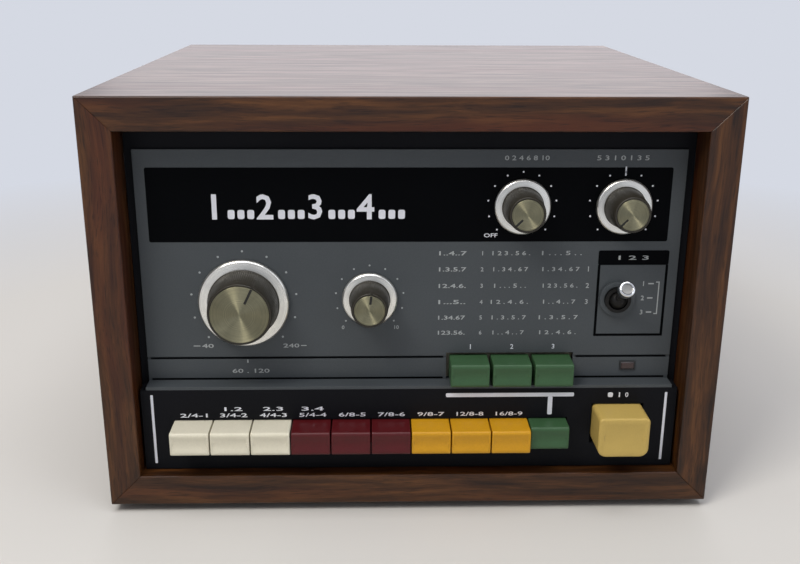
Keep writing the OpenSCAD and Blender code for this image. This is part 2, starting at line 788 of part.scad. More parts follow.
bank_end = 3;
channel_depth = stem_hold + key_travel + stop_gap;
pin_w = 0.8;
pin_out = 4;

// Channel for one plunger, cut from the front of a switch at y
module channel(x, y, z) {
    box_y(x, y - 1, z, stem_w + 2 * stem_gap, channel_depth + 1, stem_h + 2 * stem_gap);
}

// Solder pins along the back of a switch
module pins(x, y, z) {
    for (i = [-1:1], side = [-1, 1])
        box_y(x + i * key_w / 4, y - weld, z + side * switch_h / 4, pin_w, pin_out, pin_w);
}

module rhythm_switch_bank() {
    bank_w = key_row_w + 2 * bank_end;
    color("#cfc9b4") {
        difference() {
            box_y(key_row_x, switch_y, key_mid_z, bank_w, switch_depth, switch_h);
            for (i = [1:key_count]) channel(key_x(i), switch_y, key_mid_z);
        }
        for (i = [1:key_count]) pins(key_x(i), switch_y + switch_depth, key_mid_z);
    }
}

module selector_switch_bank() {
    bank_w = selector_window_w + 2 * bank_end;
    lug = bank_end - hole_gap;
    color("#cfc9b4") {
        difference() {
            box_y(selector_x, selector_switch_y, selector_mid_z, bank_w, switch_depth, switch_h);
            for (i = [1:3]) channel(selector_key_x(i), selector_switch_y, selector_mid_z);
        }
        for (x = [selector_x - bank_w / 2, selector_x + bank_w / 2 - lug])
            box(x, back_y, selector_mid_z - switch_h / 2, lug, selector_switch_y - back_y + weld, switch_h);
        for (i = [1:3]) pins(selector_key_x(i), selector_switch_y + switch_depth, selector_mid_z);
    }
}

module start_switch() {
    color("#cfc9b4") {
        difference() {
            box_y(start_x, switch_y, start_mid_z, key_w, switch_depth, switch_h);
            channel(start_x, switch_y, start_mid_z);
        }
        pins(start_x, switch_y + switch_depth, start_mid_z);
    }
}

module tempo_lamp() {
    rim = 0.8;
    rim_t = 0.6;
    lens_out = 1;
    lamp_back = 8;
    color("#2a1512") {
        box_y(lamp_x, face_y - rim_t, lamp_z, lamp_w + 2 * rim, rim_t, lamp_lens_h + 2 * rim);
        box_y(lamp_x, face_y - lens_out, lamp_z, lamp_w, lens_out + 2 * sheet_t + lamp_back, lamp_lens_h);
    }
}

// ---- rear ----

rear_row_z = floor_z + rear_row_h;
jack_body_w = 18;
jack_body_h = 16;
jack_len = 24;
jack_end = 2;
jack_nut_r = 7;
gland_x = -in_w / 2 + gland_inset;
fuse_x = gland_x + fuse_spacing;
jack_bush_r = 4.7;
gland_r = 6.5;
fuse_r = 6.2;
fuse_in = 30;
jack_places = [in_w / 2 - jack_inset - jack_pitch, in_w / 2 - jack_inset];
vent_w = 3;
vent_h = 46;
vent_pitch = 9;
vent_drop = 13;
rear_out = 5;
rear_flange_t = 2;

module rear_cover() {
    vent_mid_z = roof_z - block_leg - vent_drop - vent_h / 2;
    color(panel_black) difference() {
        sleeve_plate(inside_y);
        for (p = rear_screw_places) hole_y(p[0], inside_y, p[1], screw_r + hole_gap, sheet_t);
        for (x = jack_places) hole_y(x, inside_y, rear_row_z, jack_bush_r + seat_gap, sheet_t);
        hole_y(gland_x, inside_y, rear_row_z, gland_r + seat_gap, sheet_t);
        hole_y(fuse_x, inside_y, rear_row_z, fuse_r + seat_gap, sheet_t);
        for (i = [0:vent_count - 1])
            box_y((i - (vent_count - 1) / 2) * vent_pitch, inside_y - 1, vent_mid_z, vent_w, sheet_t + 2,
                vent_h);
    }
}

module rear_screws() {
    color(steel) for (p = rear_screw_places) {
        bar_y(p[0], cover_y, p[1], head_r, head_h);
        bar_y(p[0], inside_y - rear_screw_hold, p[1], screw_r, sheet_t + rear_screw_hold + weld);
    }
}

// Two jacks: a body inside the cover, a threaded bush through it and a nut outside, bored for the plug
module output_jacks() {
    color("#3a3a3d") for (x = jack_places) difference() {
        union() {
            box_y(x, inside_y - jack_len, rear_row_z, jack_body_w, jack_len, jack_body_h);
            bar_y(x, inside_y - weld, rear_row_z, jack_bush_r, sheet_t + rear_out + weld);
            translate([x, cover_y, rear_row_z]) rotate([-90, 0, 0])
                cylinder(r = jack_nut_r, h = nut_t, $fn = 6);
        }
        bar_y(x, inside_y - jack_len + jack_end, rear_row_z, jack_bore_r, jack_len + sheet_t + rear_out);
    }
}

// Bush that the mains lead leaves through, with a flange on each side of the cover
module cord_gland() {
    gland_in = 6;
    flange = 2;
    color("#101012") difference() {
        union() {
            bar_y(gland_x, inside_y - gland_in, rear_row_z, gland_r, gland_in + sheet_t + rear_out);
            bar_y(gland_x, cover_y, rear_row_z, gland_r + flange, rear_flange_t);
            bar_y(gland_x, inside_y - rear_flange_t, rear_row_z, gland_r + flange, rear_flange_t);
        }
        hole_y(gland_x, inside_y - gland_in, rear_row_z, gland_bore_r, gland_in + sheet_t + rear_out);
    }
}

module fuse_holder() {
    flange = 2;
    cap_step = 0.7;
    color("#141416") {
        bar_y(fuse_x, inside_y - fuse_in, rear_row_z, fuse_r, fuse_in + sheet_t + weld);
        bar_y(fuse_x, cover_y, rear_row_z, fuse_r + flange, rear_flange_t);
        bar_y(fuse_x, cover_y, rear_row_z, fuse_r - cap_step, rear_out);
    }
}

// ---- electronics ----

pcb_t = 1.6;
board_margin = 7;
board_x = -chassis_w / 2 + board_margin;
board_front_y = switch_y + switch_depth + 12;
power_w = 56;
power_d = 46;
board_w = chassis_w - 2 * board_margin - board_gap - power_w;
part_edge = 18;
chip_w = 19;
chip_d = 7;
chip_h = 3.6;
chip_gap = 3.5;
chip_rows = 3;
chip_row_pitch = 16;
film_r = 3.2;
film_h = 9;
can_r = 4.5;
can_h = 14;
main_can_r = 8;
main_can_h = 26;
heat_sink_w = 28;
heat_sink_t = 3;
heat_sink_h = 16;
power_x = chassis_w / 2 - power_w - board_margin;
power_front_y = board_front_y;
standoff_r = 3;
standoff_inset = 6;
board_z = floor_z + sheet_t + standoff_h;

function corners(x, y, w, d) =
    [for (dx = [standoff_inset, w - standoff_inset], dy = [standoff_inset, d - standoff_inset])
        [x + dx, y + dy]];

standoff_places = concat(corners(board_x, board_front_y, board_w, board_d),
    corners(power_x, power_front_y, power_w, power_d));
core_ear = 9;
core_ear_t = 1.2;
core_coil = 7;
core_x = chassis_w / 2 - board_margin - core_ear - core_w / 2;
core_y = inside_y - jack_len - 24 - core_d / 2;
core_ears = [core_x - core_w / 2 - core_ear / 2, core_x + core_w / 2 + core_ear / 2];

// Board on its four standoffs, with the holes for their screws
module bare_board(x, y, w, d) {
    difference() {
        box(x, y, board_z, w, d, pcb_t);
        for (p = corners(x, y, w, d)) hole_z(p[0], p[1], board_z, screw_r + seat_gap, pcb_t);
    }
}

// Row of round parts standing on a board, from x over a span
module can_row(x, y, span, count, r, h) {
    for (i = [0:count - 1]) translate([x + i * span / (count - 1), y, board_z + pcb_t - weld])
        cylinder(r = r, h = h);
}

module rhythm_board() {
    left = board_x + part_edge;
    span = board_w - 2 * part_edge;
    chip_columns = floor((span + chip_gap) / (chip_w + chip_gap));
    back = board_front_y + board_d - part_edge;
    color("#8d6a2c") bare_board(board_x, board_front_y, board_w, board_d);
    color("#1b1b1d") for (r = [0:chip_rows - 1], c = [0:chip_columns - 1])
        box(left + c * (span - chip_w) / (chip_columns - 1), board_front_y + part_edge + r * chip_row_pitch,
            board_z + pcb_t - weld, chip_w, chip_d, chip_h);
    color("#a5642e") can_row(left, back - part_edge, span, 8, film_r, film_h);
    color("#2f4f7d") can_row(left, back, span, 5, can_r, can_h);
}

module power_board() {
    color("#8d6a2c") bare_board(power_x, power_front_y, power_w, power_d);
    color("#2f4f7d")
        can_row(power_x + part_edge, power_front_y + part_edge, power_w - 2 * part_edge, 2, main_can_r,
            main_can_h);
    color(steel) box(power_x + (power_w - heat_sink_w) / 2, power_front_y + power_d - 2 * standoff_inset,
        board_z + pcb_t - weld, heat_sink_w, heat_sink_t, heat_sink_h);
}

module board_standoffs() {
    color(zinc) for (p = standoff_places) translate([p[0], p[1], floor_z]) {
        cylinder(r = screw_r, h = sheet_t + standoff_h + pcb_t + weld);
        translate([0, 0, sheet_t]) cylinder(r = standoff_r, h = standoff_h);
        translate([0, 0, sheet_t + standoff_h + pcb_t]) cylinder(r = standoff_r, h = head_h);
    }
}

module power_transformer() {
    base_z = floor_z + sheet_t;
    left = core_x - core_w / 2;
    front = core_y - core_d / 2;
    color("#4b4d50") {
        difference() {
            union() {
                box(left, front, base_z, core_w, core_d, core_h);
                box(left - core_ear, front, base_z, core_w + 2 * core_ear, core_d, core_ear_t);
            }
            for (x = core_ears) hole_z(x, core_y, base_z, screw_r + seat_gap, core_ear_t);
        }
    }
    color("#c79a4b") box(left + core_w / 4, front - core_coil, base_z + core_h / 5, core_w / 2,
        core_d + 2 * core_coil, core_h * 3 / 5);
    color(steel) for (x = core_ears) translate([x, core_y, floor_z]) {
        cylinder(r = screw_r, h = sheet_t + core_ear_t + weld);
        translate([0, 0, sheet_t + core_ear_t]) cylinder(r = head_r, h = head_h);
    }
}

// ---- one line for each sub-part ----

cabinet_top();
cabinet_bottom();
cabinet_left();
cabinet_right();
corner_blocks();
rubber_feet();
feet_screws();
chassis_base();
chassis_bolts();
panel_frame();
front_panel();
key_panel();
panel_nuts();
rear_cover();
rear_screws();
potentiometers();
control_nuts();
toggle_switch();
toggle_lever();
volume_knob();
volume_ring();
volume_cap();
volume_shaft();
balance_knob();
balance_ring();
balance_cap();
balance_shaft();
tempo_knob();
tempo_ring();
tempo_cap();
tempo_shaft();
fade_knob();
fade_ring();
fade_cap();
fade_shaft();
rhythm_key(1);  // rhythm_key_1
rhythm_key(2);  // rhythm_key_2
rhythm_key(3);  // rhythm_key_3
rhythm_key(4);  // rhythm_key_4
rhythm_key(5);  // rhythm_key_5
rhythm_key(6);  // rhythm_key_6
rhythm_key(7);  // rhythm_key_7
rhythm_key(8);  // rhythm_key_8
rhythm_key(9);  // rhythm_key_9
rhythm_key(10);  // rhythm_key_10
selector_key(1);  // selector_key_1
selector_key(2);  // selector_key_2
selector_key(3);  // selector_key_3
start_key();
rhythm_switch_bank();
selector_switch_bank();
start_switch();
tempo_lamp();
rhythm_board();
power_board();
board_standoffs();
power_transformer();
output_jacks();
cord_gland();
fuse_holder();
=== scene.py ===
import json
import math
from collections import namedtuple

import bmesh
import bpy
from mathutils import Matrix, Vector

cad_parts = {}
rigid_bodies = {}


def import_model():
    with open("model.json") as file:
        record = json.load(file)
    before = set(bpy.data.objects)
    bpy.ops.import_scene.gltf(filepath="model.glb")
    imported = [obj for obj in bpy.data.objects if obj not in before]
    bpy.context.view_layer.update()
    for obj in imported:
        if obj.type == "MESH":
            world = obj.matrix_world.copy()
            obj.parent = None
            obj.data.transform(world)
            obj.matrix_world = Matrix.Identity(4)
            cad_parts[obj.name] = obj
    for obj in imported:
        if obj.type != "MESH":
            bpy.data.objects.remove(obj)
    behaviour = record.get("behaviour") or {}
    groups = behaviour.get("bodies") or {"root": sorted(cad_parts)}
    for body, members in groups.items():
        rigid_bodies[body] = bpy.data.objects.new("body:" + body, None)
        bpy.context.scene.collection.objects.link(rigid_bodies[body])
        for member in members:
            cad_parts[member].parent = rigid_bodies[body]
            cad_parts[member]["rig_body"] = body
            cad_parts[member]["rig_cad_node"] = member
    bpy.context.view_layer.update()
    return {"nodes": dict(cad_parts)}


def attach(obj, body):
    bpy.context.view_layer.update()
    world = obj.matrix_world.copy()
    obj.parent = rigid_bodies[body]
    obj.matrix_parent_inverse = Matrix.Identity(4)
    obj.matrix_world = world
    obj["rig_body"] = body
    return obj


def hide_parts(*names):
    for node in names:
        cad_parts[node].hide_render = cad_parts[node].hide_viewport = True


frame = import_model()
CAD_SLOTS = {name: node.material_slots[0].name for name, node in frame["nodes"].items()}

bl_info = {
    "name": "Drum machine",
    "version": (1, 0, 0),
    "blender": (4, 5, 0),
    "location": "3D View > Sidebar > Drum machine",
    "description": "Builds the looks of a wood-cased drum machine round its CAD frame",
    "category": "Object",
}

MM = 0.001

# Places that the pieces share, in millimetres in the frame of the CAD part
FACE_Y = -120.5  # front of the faceplate
KEY_PANEL_Y = -128.5  # front of the key panel
FRAME_BACK_Y = -117.4  # just behind the frame: the toggle's bush lies before it, its body behind
COVER_Y = 134.4  # just before the rear face of the rear cover
HALF_W, FRONT_Y, REAR_Y, LOW_Z, HIGH_Z = 142.5, -135.5, 144.5, 4.0, 197.0  # the wooden sleeve
BOARD = 15.0
Knob = namedtuple("Knob", "x z body_r cap_r ring_r pointer")
KNOBS = {  # the pointer's angle is in degrees clockwise from the top
    "volume": Knob(50.0, 146.3, 9.5, 6.9, 12.8, -135),
    "balance": Knob(96.0, 146.3, 9.5, 6.9, 12.8, -135),
    "tempo": Knob(-77.0, 100.9, 16.5, 13.2, 20.9, 26),
    "fade": Knob(-19.0, 102.6, 9.5, 6.9, 12.8, 7),
}
TOGGLE_PIVOT = (96.0, FACE_Y - 2.5, 102.2)
TOGGLE_TILT = 34  # degrees up from straight out
KEY_PITCH = 18.6
ROW = [(-102.3 + KEY_PITCH * i, 38.8) for i in range(10)]
SELECTORS = [(27.6, 67.9), (47.2, 67.9), (66.8, 67.9)]
START = (98.4, 41.8)
# front and back of a key's cap, and the end of its plunger
ROW_DEPTHS = (KEY_PANEL_Y - 14, -126.0, -99.5)
SELECTOR_DEPTHS = (FACE_Y - 12, -118.5, -96.0)
START_DEPTHS = (KEY_PANEL_Y - 16, -126.0, -99.5)
KEY_TRAVEL = 4
BOLTS = [(x, y) for x in (-103.5, 103.5) for y in (-93.5, 104.5)]
FEET = [(x, y) for x in (-118.5, 118.5) for y in (-111.5, 120.5)]

# The stage, in metres: each lamp's place, side, share of the key light's setting, and colour
FLOOR_Z = -0.0002  # a hair below the feet, so that the two faces don't coincide
LAMPS = {
    "key_light": ((-0.85, -1.0, 1.6), 0.7, 2.2, "#fffaf2"),  # a soft box up to the left
    "ceiling_light": ((0.1, -0.5, 1.9), 1.4, 2.0, "#fbfbff"),  # a wide one overhead
    "fill_light": ((1.3, -1.2, 0.7), 0.9, 0.3, "#f2f6ff"),  # a weak one to the right
    "window_light": ((0.07, 1.9, 1.05), 1.72, 1.08, "#fbf3f4"),  # a window behind, which skims the top
}
LAMP_AIM = (0, 0, 0.1)
CAMERA_PLACE = (-16.5, -550.7, 249.3)  # millimetres
CAMERA_ANGLES = (17.89, -1.531, 0.284)  # degrees down, to the left, and of its right side raised


def mm(*values):
    """Millimetres in metres: one number, or a point"""
    return values[0] * MM if len(values) == 1 else Vector(values) * MM


def linear(code):
    """sRGB hex colour as linear red, green, blue and alpha"""
    parts = [int(code[i : i + 2], 16) / 255 for i in (1, 3, 5)]
    return [c / 12.92 if c <= 0.04045 else ((c + 0.055) / 1.055) ** 2.4 for c in parts] + [1.0]


# ---- sizes and colours that a user would change ----


def colour(name, description, code):
    return bpy.props.FloatVectorProperty(
        name=name, description=description, subtype="COLOR", size=4, min=0, max=1, default=linear(code)
    )


def length(name, description, millimetres):
    return bpy.props.FloatProperty(
        name=name,
        description=description,
        subtype="DISTANCE",
        unit="LENGTH",
        default=mm(millimetres),
        min=0,
        precision=5,
    )


def number(name, description, value, lowest):
    return bpy.props.FloatProperty(name=name, description=description, default=value, min=lowest)


class WoodSettings(bpy.types.PropertyGroup):
    dark: colour("Dark", "Dark bands of the walnut", "#221106")
    middle: colour("Middle", "Body of the walnut", "#3f240f")
    light: colour("Light", "Light bands of the walnut", "#5c391b")
    red: colour("Red", "Reddish heartwood streaks", "#4c200c")
    arris: length("Arris", "Radius of the boards' long edges", 0.8)
    mitre: length("Mitre", "Width of the fine groove along a mitre", 0.22)
    band: length("Band", "Width of a growth band across the grain", 3.5)


class PanelSettings(bpy.types.PropertyGroup):
    grey: colour("Grey", "Enamel of the faceplate", "#454a4e")
    black: colour("Black", "Enamel of the frame, the key panel and the rear cover", "#121317")
    band: colour("Header", "Black print of the header", "#050608")
    ink: colour("Ink", "White print", "#dcdfe9")
    faint: colour("Faint ink", "Grey print of the chart and the labels", "#a3a8aa")
    film: length("Film", "Thickness of the print", 0.05)
    edge: length("Edge", "Radius on the edges of the sheets", 0.3)


class ControlSettings(bpy.types.PropertyGroup):
    plastic: colour("Plastic", "Knob bodies", "#28241b")
    aluminium: colour("Aluminium", "Rings of the knobs", "#eeece4")
    cap: colour("Caps", "Aluminium caps, lacquered a little yellow", "#9a967c")
    chrome: colour("Chrome", "Toggle handle", "#d4d5d6")
    flute: length("Flute", "Pitch of the flutes round a knob", 1.0)
    flute_depth: length("Flute depth", "Depth of the flutes", 0.22)


class KeySettings(bpy.types.PropertyGroup):
    cream: colour("Cream", "Keys 1 to 3", "#dad5c2")
    red: colour("Red", "Keys 4 to 6", "#4f1317")
    yellow: colour("Yellow", "Keys 7 to 9", "#c8921c")
    green: colour("Green", "Key 10 and the selectors", "#38583a")
    start: colour("Start", "Start key", "#c0a55c")
    dish: length("Dish", "Depth of the hollow in a key's front", 0.6)


class StageSettings(bpy.types.PropertyGroup):
    floor: colour("Floor", "Desk under the part", "#d4d2ce")
    back: colour("Backdrop", "Paper that the desk fades into", "#d5d9e3")
    focal: number("Lens", "Focal length in millimetres", 44.11, 10)
    key_power: number("Key light", "Power that each lamp's share is taken of", 9.0, 0)


SETTINGS = {
    "drum_wood": WoodSettings,
    "drum_panel": PanelSettings,
    "drum_controls": ControlSettings,
    "drum_keys": KeySettings,
    "drum_stage": StageSettings,
}


# ---- modelling, as by hand ----


def rest():
    """Object mode with nothing selected"""
    if bpy.context.object and bpy.context.object.mode != "OBJECT":
        bpy.ops.object.mode_set(mode="OBJECT")
    bpy.ops.object.select_all(action="DESELECT")


def hold(*pieces):
    """Selects only these pieces, the first of them active"""
    rest()
    for piece in pieces:
        piece.select_set(True)
    bpy.context.view_layer.objects.active = pieces[0]


def named(name):
    """The active object under its new name, its place applied to its mesh"""
    piece = bpy.context.active_object
    piece.name = piece.data.name = name
    hold(piece)
    bpy.ops.object.transform_apply(location=True, rotation=True, scale=True)
    return piece


def edit(piece):
    """Edit mode with all of the piece selected"""
    hold(piece)
    bpy.ops.object.mode_set(mode="EDIT")
    bpy.ops.mesh.select_all(action="SELECT")


def select(kind, test):
    """In edit mode, selects only the elements of a kind that pass a test on their middle and themselves"""
    bpy.ops.mesh.select_mode(type=kind)
    bpy.ops.mesh.select_all(action="DESELECT")
    mesh = bpy.context.edit_object.data
    shape = bmesh.from_edit_mesh(mesh)
    for part in {"VERT": shape.verts, "EDGE": shape.edges, "FACE": shape.faces}[kind]:
        points = [part.co] if kind == "VERT" else [v.co for v in part.verts]
        part.select_set(bool(test(sum(points, Vector()) / len(points) / MM, part)))
    shape.select_flush_mode()
    bmesh.update_edit_mesh(mesh)


def extrude(x, y, z):
    bpy.ops.mesh.extrude_region_move(TRANSFORM_OT_translate={"value": mm(x, y, z)})


def resize(x, y, z, about):
    bpy.ops.transform.resize(value=(x, y, z), center_override=about)


def outward():
    """Ends edit mode with every normal turned outwards"""
    bpy.ops.mesh.select_all(action="SELECT")
    bpy.ops.mesh.normals_make_consistent(inside=False)
    rest()


def arc(x, y, radius, begin, end, steps, first=0):
    """Points of a profile on an arc between two angles in degrees"""
    turns = [math.radians(begin + (end - begin) * step / steps) for step in range(first, steps + 1)]
    return [(x + radius * math.cos(turn), y + radius * math.sin(turn)) for turn in turns]


def modify(piece, kind, **settings):
    """Adds a modifier with its settings and applies it"""
    hold(piece)
    bpy.ops.object.modifier_add(type=kind)
    modifier = piece.modifiers[-1]
    for key, value in settings.items():
        setattr(modifier, key, value)
    bpy.ops.object.modifier_apply(modifier=modifier.name)


def carve(piece, cutter):
    """Cuts the cutter's shape out of a piece"""
    modify(piece, "BOOLEAN", operation="DIFFERENCE", object=cutter, solver="EXACT")
    bpy.data.objects.remove(cutter)


def block(name, low, high):
    """Cube stretched between two corners in millimetres"""
    rest()
    low, high = Vector(low), Vector(high)
    bpy.ops.mesh.primitive_cube_add(size=1, location=(low + high) / 2 * MM)
    bpy.context.active_object.scale = (high - low) * MM
    return named(name)


def turned(name, profile, vertices, place, tilt=90):
    """Turned solid: a filled circle drawn through a profile of (radius, height), out of the face"""
    rest()
    bpy.ops.mesh.primitive_circle_add(
        vertices=vertices, radius=mm(profile[0][0]), fill_type="NGON", location=(0, 0, mm(profile[0][1]))
    )
    piece = named(name)
    edit(piece)
    for (r0, h0), (r1, h1) in zip(profile, profile[1:]):
        extrude(0, 0, h1 - h0)
        resize(r1 / r0, r1 / r0, 1, (0, 0, mm(h1)))
    outward()
    piece.rotation_euler = (math.radians(tilt), 0, 0)
    piece.location = mm(*place)
    hold(piece)
    bpy.ops.object.transform_apply(location=True, rotation=True, scale=True)
    return piece


def eased(node, width, materials, segments=2, body="cabinet"):
    """Copy of a CAD node, merged, its flat faces joined and its sharp edges eased"""
    hold(frame["nodes"][node])
    bpy.ops.object.duplicate(linked=False)
    piece = bpy.context.active_object
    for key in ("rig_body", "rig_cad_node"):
        del piece[key]
    piece.parent = None
    piece = named(node + "_eased")
    edit(piece)
    bpy.ops.mesh.remove_doubles(threshold=1e-6)
    bpy.ops.mesh.dissolve_limited(angle_limit=math.radians(1))
    rest()
    sharp = math.radians(40)
    modify(piece, "BEVEL", width=mm(width), segments=segments, limit_method="ANGLE", angle_limit=sharp)
    return fit(piece, body, CAD_SLOTS[node], materials, node)


def fit(piece, body, slot, materials, *nodes):
    """Gives a finished piece its materials, its body and the CAD nodes that it stands for; the slot is not
    used
    """
    piece.data.materials.clear()
    for material in materials:
        piece.data.materials.append(material)
    hold(piece)
    bpy.ops.object.shade_smooth_by_angle(angle=math.radians(35))
    # the big flat faces set the shading at their edges
    modify(piece, "WEIGHTED_NORMAL", keep_sharp=True, weight=90)
    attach(piece, body)
    if nodes:
        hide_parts(*nodes)
    return piece


def paint(piece, index, test):
    """Gives the faces that pass a test the piece's material of that number"""
    edit(piece)
    select("FACE", test)
    piece.active_material_index = index
    bpy.ops.object.material_slot_assign()
    rest()


def copy(piece, name, x, y, z):
    """Copy with a mesh of its own, moved by millimetres"""
    hold(piece)
    bpy.ops.object.duplicate(linked=False)
    bpy.context.active_object.location = mm(x, y, z)
    return named(name)


def join(name, pieces):
    hold(*pieces)
    if len(pieces) > 1:
        bpy.ops.object.join()
    return named(name)


# ---- printing ----


def film(name, marks, y, thickness):
    """Raised film: bars (left, right, low, high), dots (x, z, radius), ticks (x, z, length, width, angle)"""
    pieces = []
    upright = (math.pi / 2, 0, 0)
    for mark in marks:
        rest()
        if len(mark) == 3:
            x, z, r = mark
            bpy.ops.mesh.primitive_circle_add(
                vertices=16, radius=mm(r), fill_type="NGON", location=mm(x, y, z), rotation=upright
            )
            corner = 0
        else:
            if len(mark) == 4:
                x0, x1, z0, z1 = mark
                x, z, along, across, angle = (x0 + x1) / 2, (z0 + z1) / 2, z1 - z0, x1 - x0, 0
            else:
                x, z, along, across, angle = mark
            bpy.ops.mesh.primitive_plane_add(size=1, location=mm(x, y, z))
            piece = bpy.context.active_object
            piece.scale = (mm(across), mm(along), 1)
            piece.rotation_euler = (math.pi / 2, math.radians(angle), 0)
            corner = min(across, along) * 0.25
        piece = named(name)
        edit(piece)
        if corner:
            bpy.ops.mesh.bevel(offset=mm(min(corner, 0.8)), segments=2, affect="VERTICES")
            bpy.ops.mesh.select_all(action="SELECT")
        extrude(0, -thickness, 0)
        outward()
        pieces.append(piece)
    return join(name, pieces)


def lettering(name, words, y, thickness, weight=0.012):
    """Plain numerals and marks as raised film: (text, x, z, height, width or None) round a middle"""
    pieces = []
    for text, x, z, height, width in words:
        rest()
        bpy.ops.object.text_add()
        data = bpy.context.active_object.data
        data.body = text
        data.resolution_u = 2
        data.extrude = 0.05
        bpy.ops.object.convert(target="CURVE")
        weld_outlines()
        bpy.context.active_object.data.offset = weight
        bpy.ops.object.convert(target="MESH")
        piece = named(name)
        corners = [Vector(c) for c in piece.bound_box]
        low = Vector(map(min, *corners))
        high = Vector(map(max, *corners))
        edit(piece)
        bpy.ops.mesh.remove_doubles(threshold=1e-4)
        bpy.ops.mesh.normals_make_consistent(inside=False)
        bpy.ops.transform.translate(value=-(low + high) / 2)
        rest()
        rise = mm(height) / (high.y - low.y)
        across = mm(width) / (high.x - low.x) if width else rise
        piece.scale = (across, rise, mm(thickness) / (high.z - low.z))
        piece.rotation_euler = (math.pi / 2, 0, 0)
        piece.location = mm(x, y - thickness / 2, z)
        pieces.append(named(name))
    return join(name, pieces)


def weld_outlines():
    """Takes out points of the active curve that nearly coincide: they would cross in a bolder outline"""
    bpy.ops.object.mode_set(mode="EDIT")
    bpy.ops.curve.select_all(action="DESELECT")
    doubled = False
    for spline in bpy.context.active_object.data.splines:
        points = spline.bezier_points
        for i, point in enumerate(points):
            if (point.co - points[i - 1].co).length < 0.003:
                point.select_control_point = doubled = True
    if doubled:
        bpy.ops.curve.dissolve_verts()
    bpy.ops.object.mode_set(mode="OBJECT")


def dial(knob, radius, dot):
    """Eleven dots round a knob, over the 270 degrees that it turns"""
    turns = [math.radians(-135 + 27 * step) for step in range(11)]
    return [(knob.x + radius * math.sin(turn), knob.z + radius * math.cos(turn), dot) for turn in turns]


def printed(name, ink, films, slot="grey_enamel"):
    """Films joined into one print in one ink; the record slot of the sheet below it is handed on but not used
    """
    fit(join(name, films), "cabinet", slot, [MADE[ink]])


# ---- materials ----


def add(tree, kind, inputs=(), **settings):
    """Adds a node with its settings; inputs gives each socket a value, or the socket that feeds it"""
    node = tree.nodes.new("ShaderNode" + kind)
    for key, value in settings.items():
        setattr(node, key, value)
    for key, value in dict(inputs).items():
        if isinstance(value, bpy.types.NodeSocket):
            tree.links.new(value, node.inputs[key])
        else:
            node.inputs[key].default_value = value
    return node


def start(name, sockets):
    """New material with values on its shader's own sockets, and its object coordinates"""
    material = bpy.data.materials.new(name)
    material.use_nodes = True
    tree = material.node_tree
    shader = tree.nodes["Principled BSDF"]
    for key, value in sockets.items():
        shader.inputs[key].default_value = value
    return material, tree, shader, add(tree, "TexCoord").outputs["Object"]


def per(millimetres):
    """Scale of a pattern whose features are that far apart"""
    return 1 / mm(millimetres)


def shade(code, factor):
    """A linear colour made lighter or darker"""
    return [min(1, c * factor) for c in code[:3]] + [1.0]


def noise(tree, place, apart, detail, roughness=0.5):
    """Clouds that many millimetres apart"""
    inputs = {"Vector": place, "Scale": per(apart), "Detail": detail, "Roughness": roughness}
    return add(tree, "TexNoise", inputs)


def remap(tree, value, low, high, first, last):
    """A value taken from one range to another"""
    return add(tree, "MapRange", {0: value, 1: low, 2: high, 3: first, 4: last}).outputs[0]


def blend(tree, amount, first, second):
    """A colour between two colours"""
    return add(tree, "Mix", {0: amount, 6: first, 7: second}, data_type="RGBA").outputs[2]


def dim(tree, tone, factor):
    """A colour times a value"""
    return add(tree, "VectorMath", {0: tone, 3: factor}, operation="SCALE").outputs[0]


def bumps(tree, strength, deep, height):
    """Relief that many millimetres deep"""
    return add(tree, "Bump", {"Strength": strength, "Distance": mm(deep), "Height": height}).outputs[0]


def wire(tree, shader, sockets):
    for key, value in sockets.items():
        tree.links.new(value, shader.inputs[key])


def surface(name, tone, spread, spots, rough, grain, height, sockets=()):
    """Even-coloured finish: mottled over spots mm by a spread round its tone, with a fine grain"""
    material, tree, shader, place = start(name, dict(sockets))
    cloud = noise(tree, place, spots, 4.0, 0.6).outputs[0]
    fine = noise(tree, place, grain, 2.0).outputs[0]
    mottle = blend(tree, cloud, shade(tone, 1 - spread), shade(tone, 1 + spread))
    speck = remap(tree, fine, 0.3, 0.7, 1 - spread / 2, 1 + spread / 2)
    wire(tree, shader, {
        "Base Color": dim(tree, mottle, speck),
        "Roughness": remap(tree, cloud, 0.35, 0.65, *rough),
        "Normal": bumps(tree, 0.5, height, fine),
    })
    return material


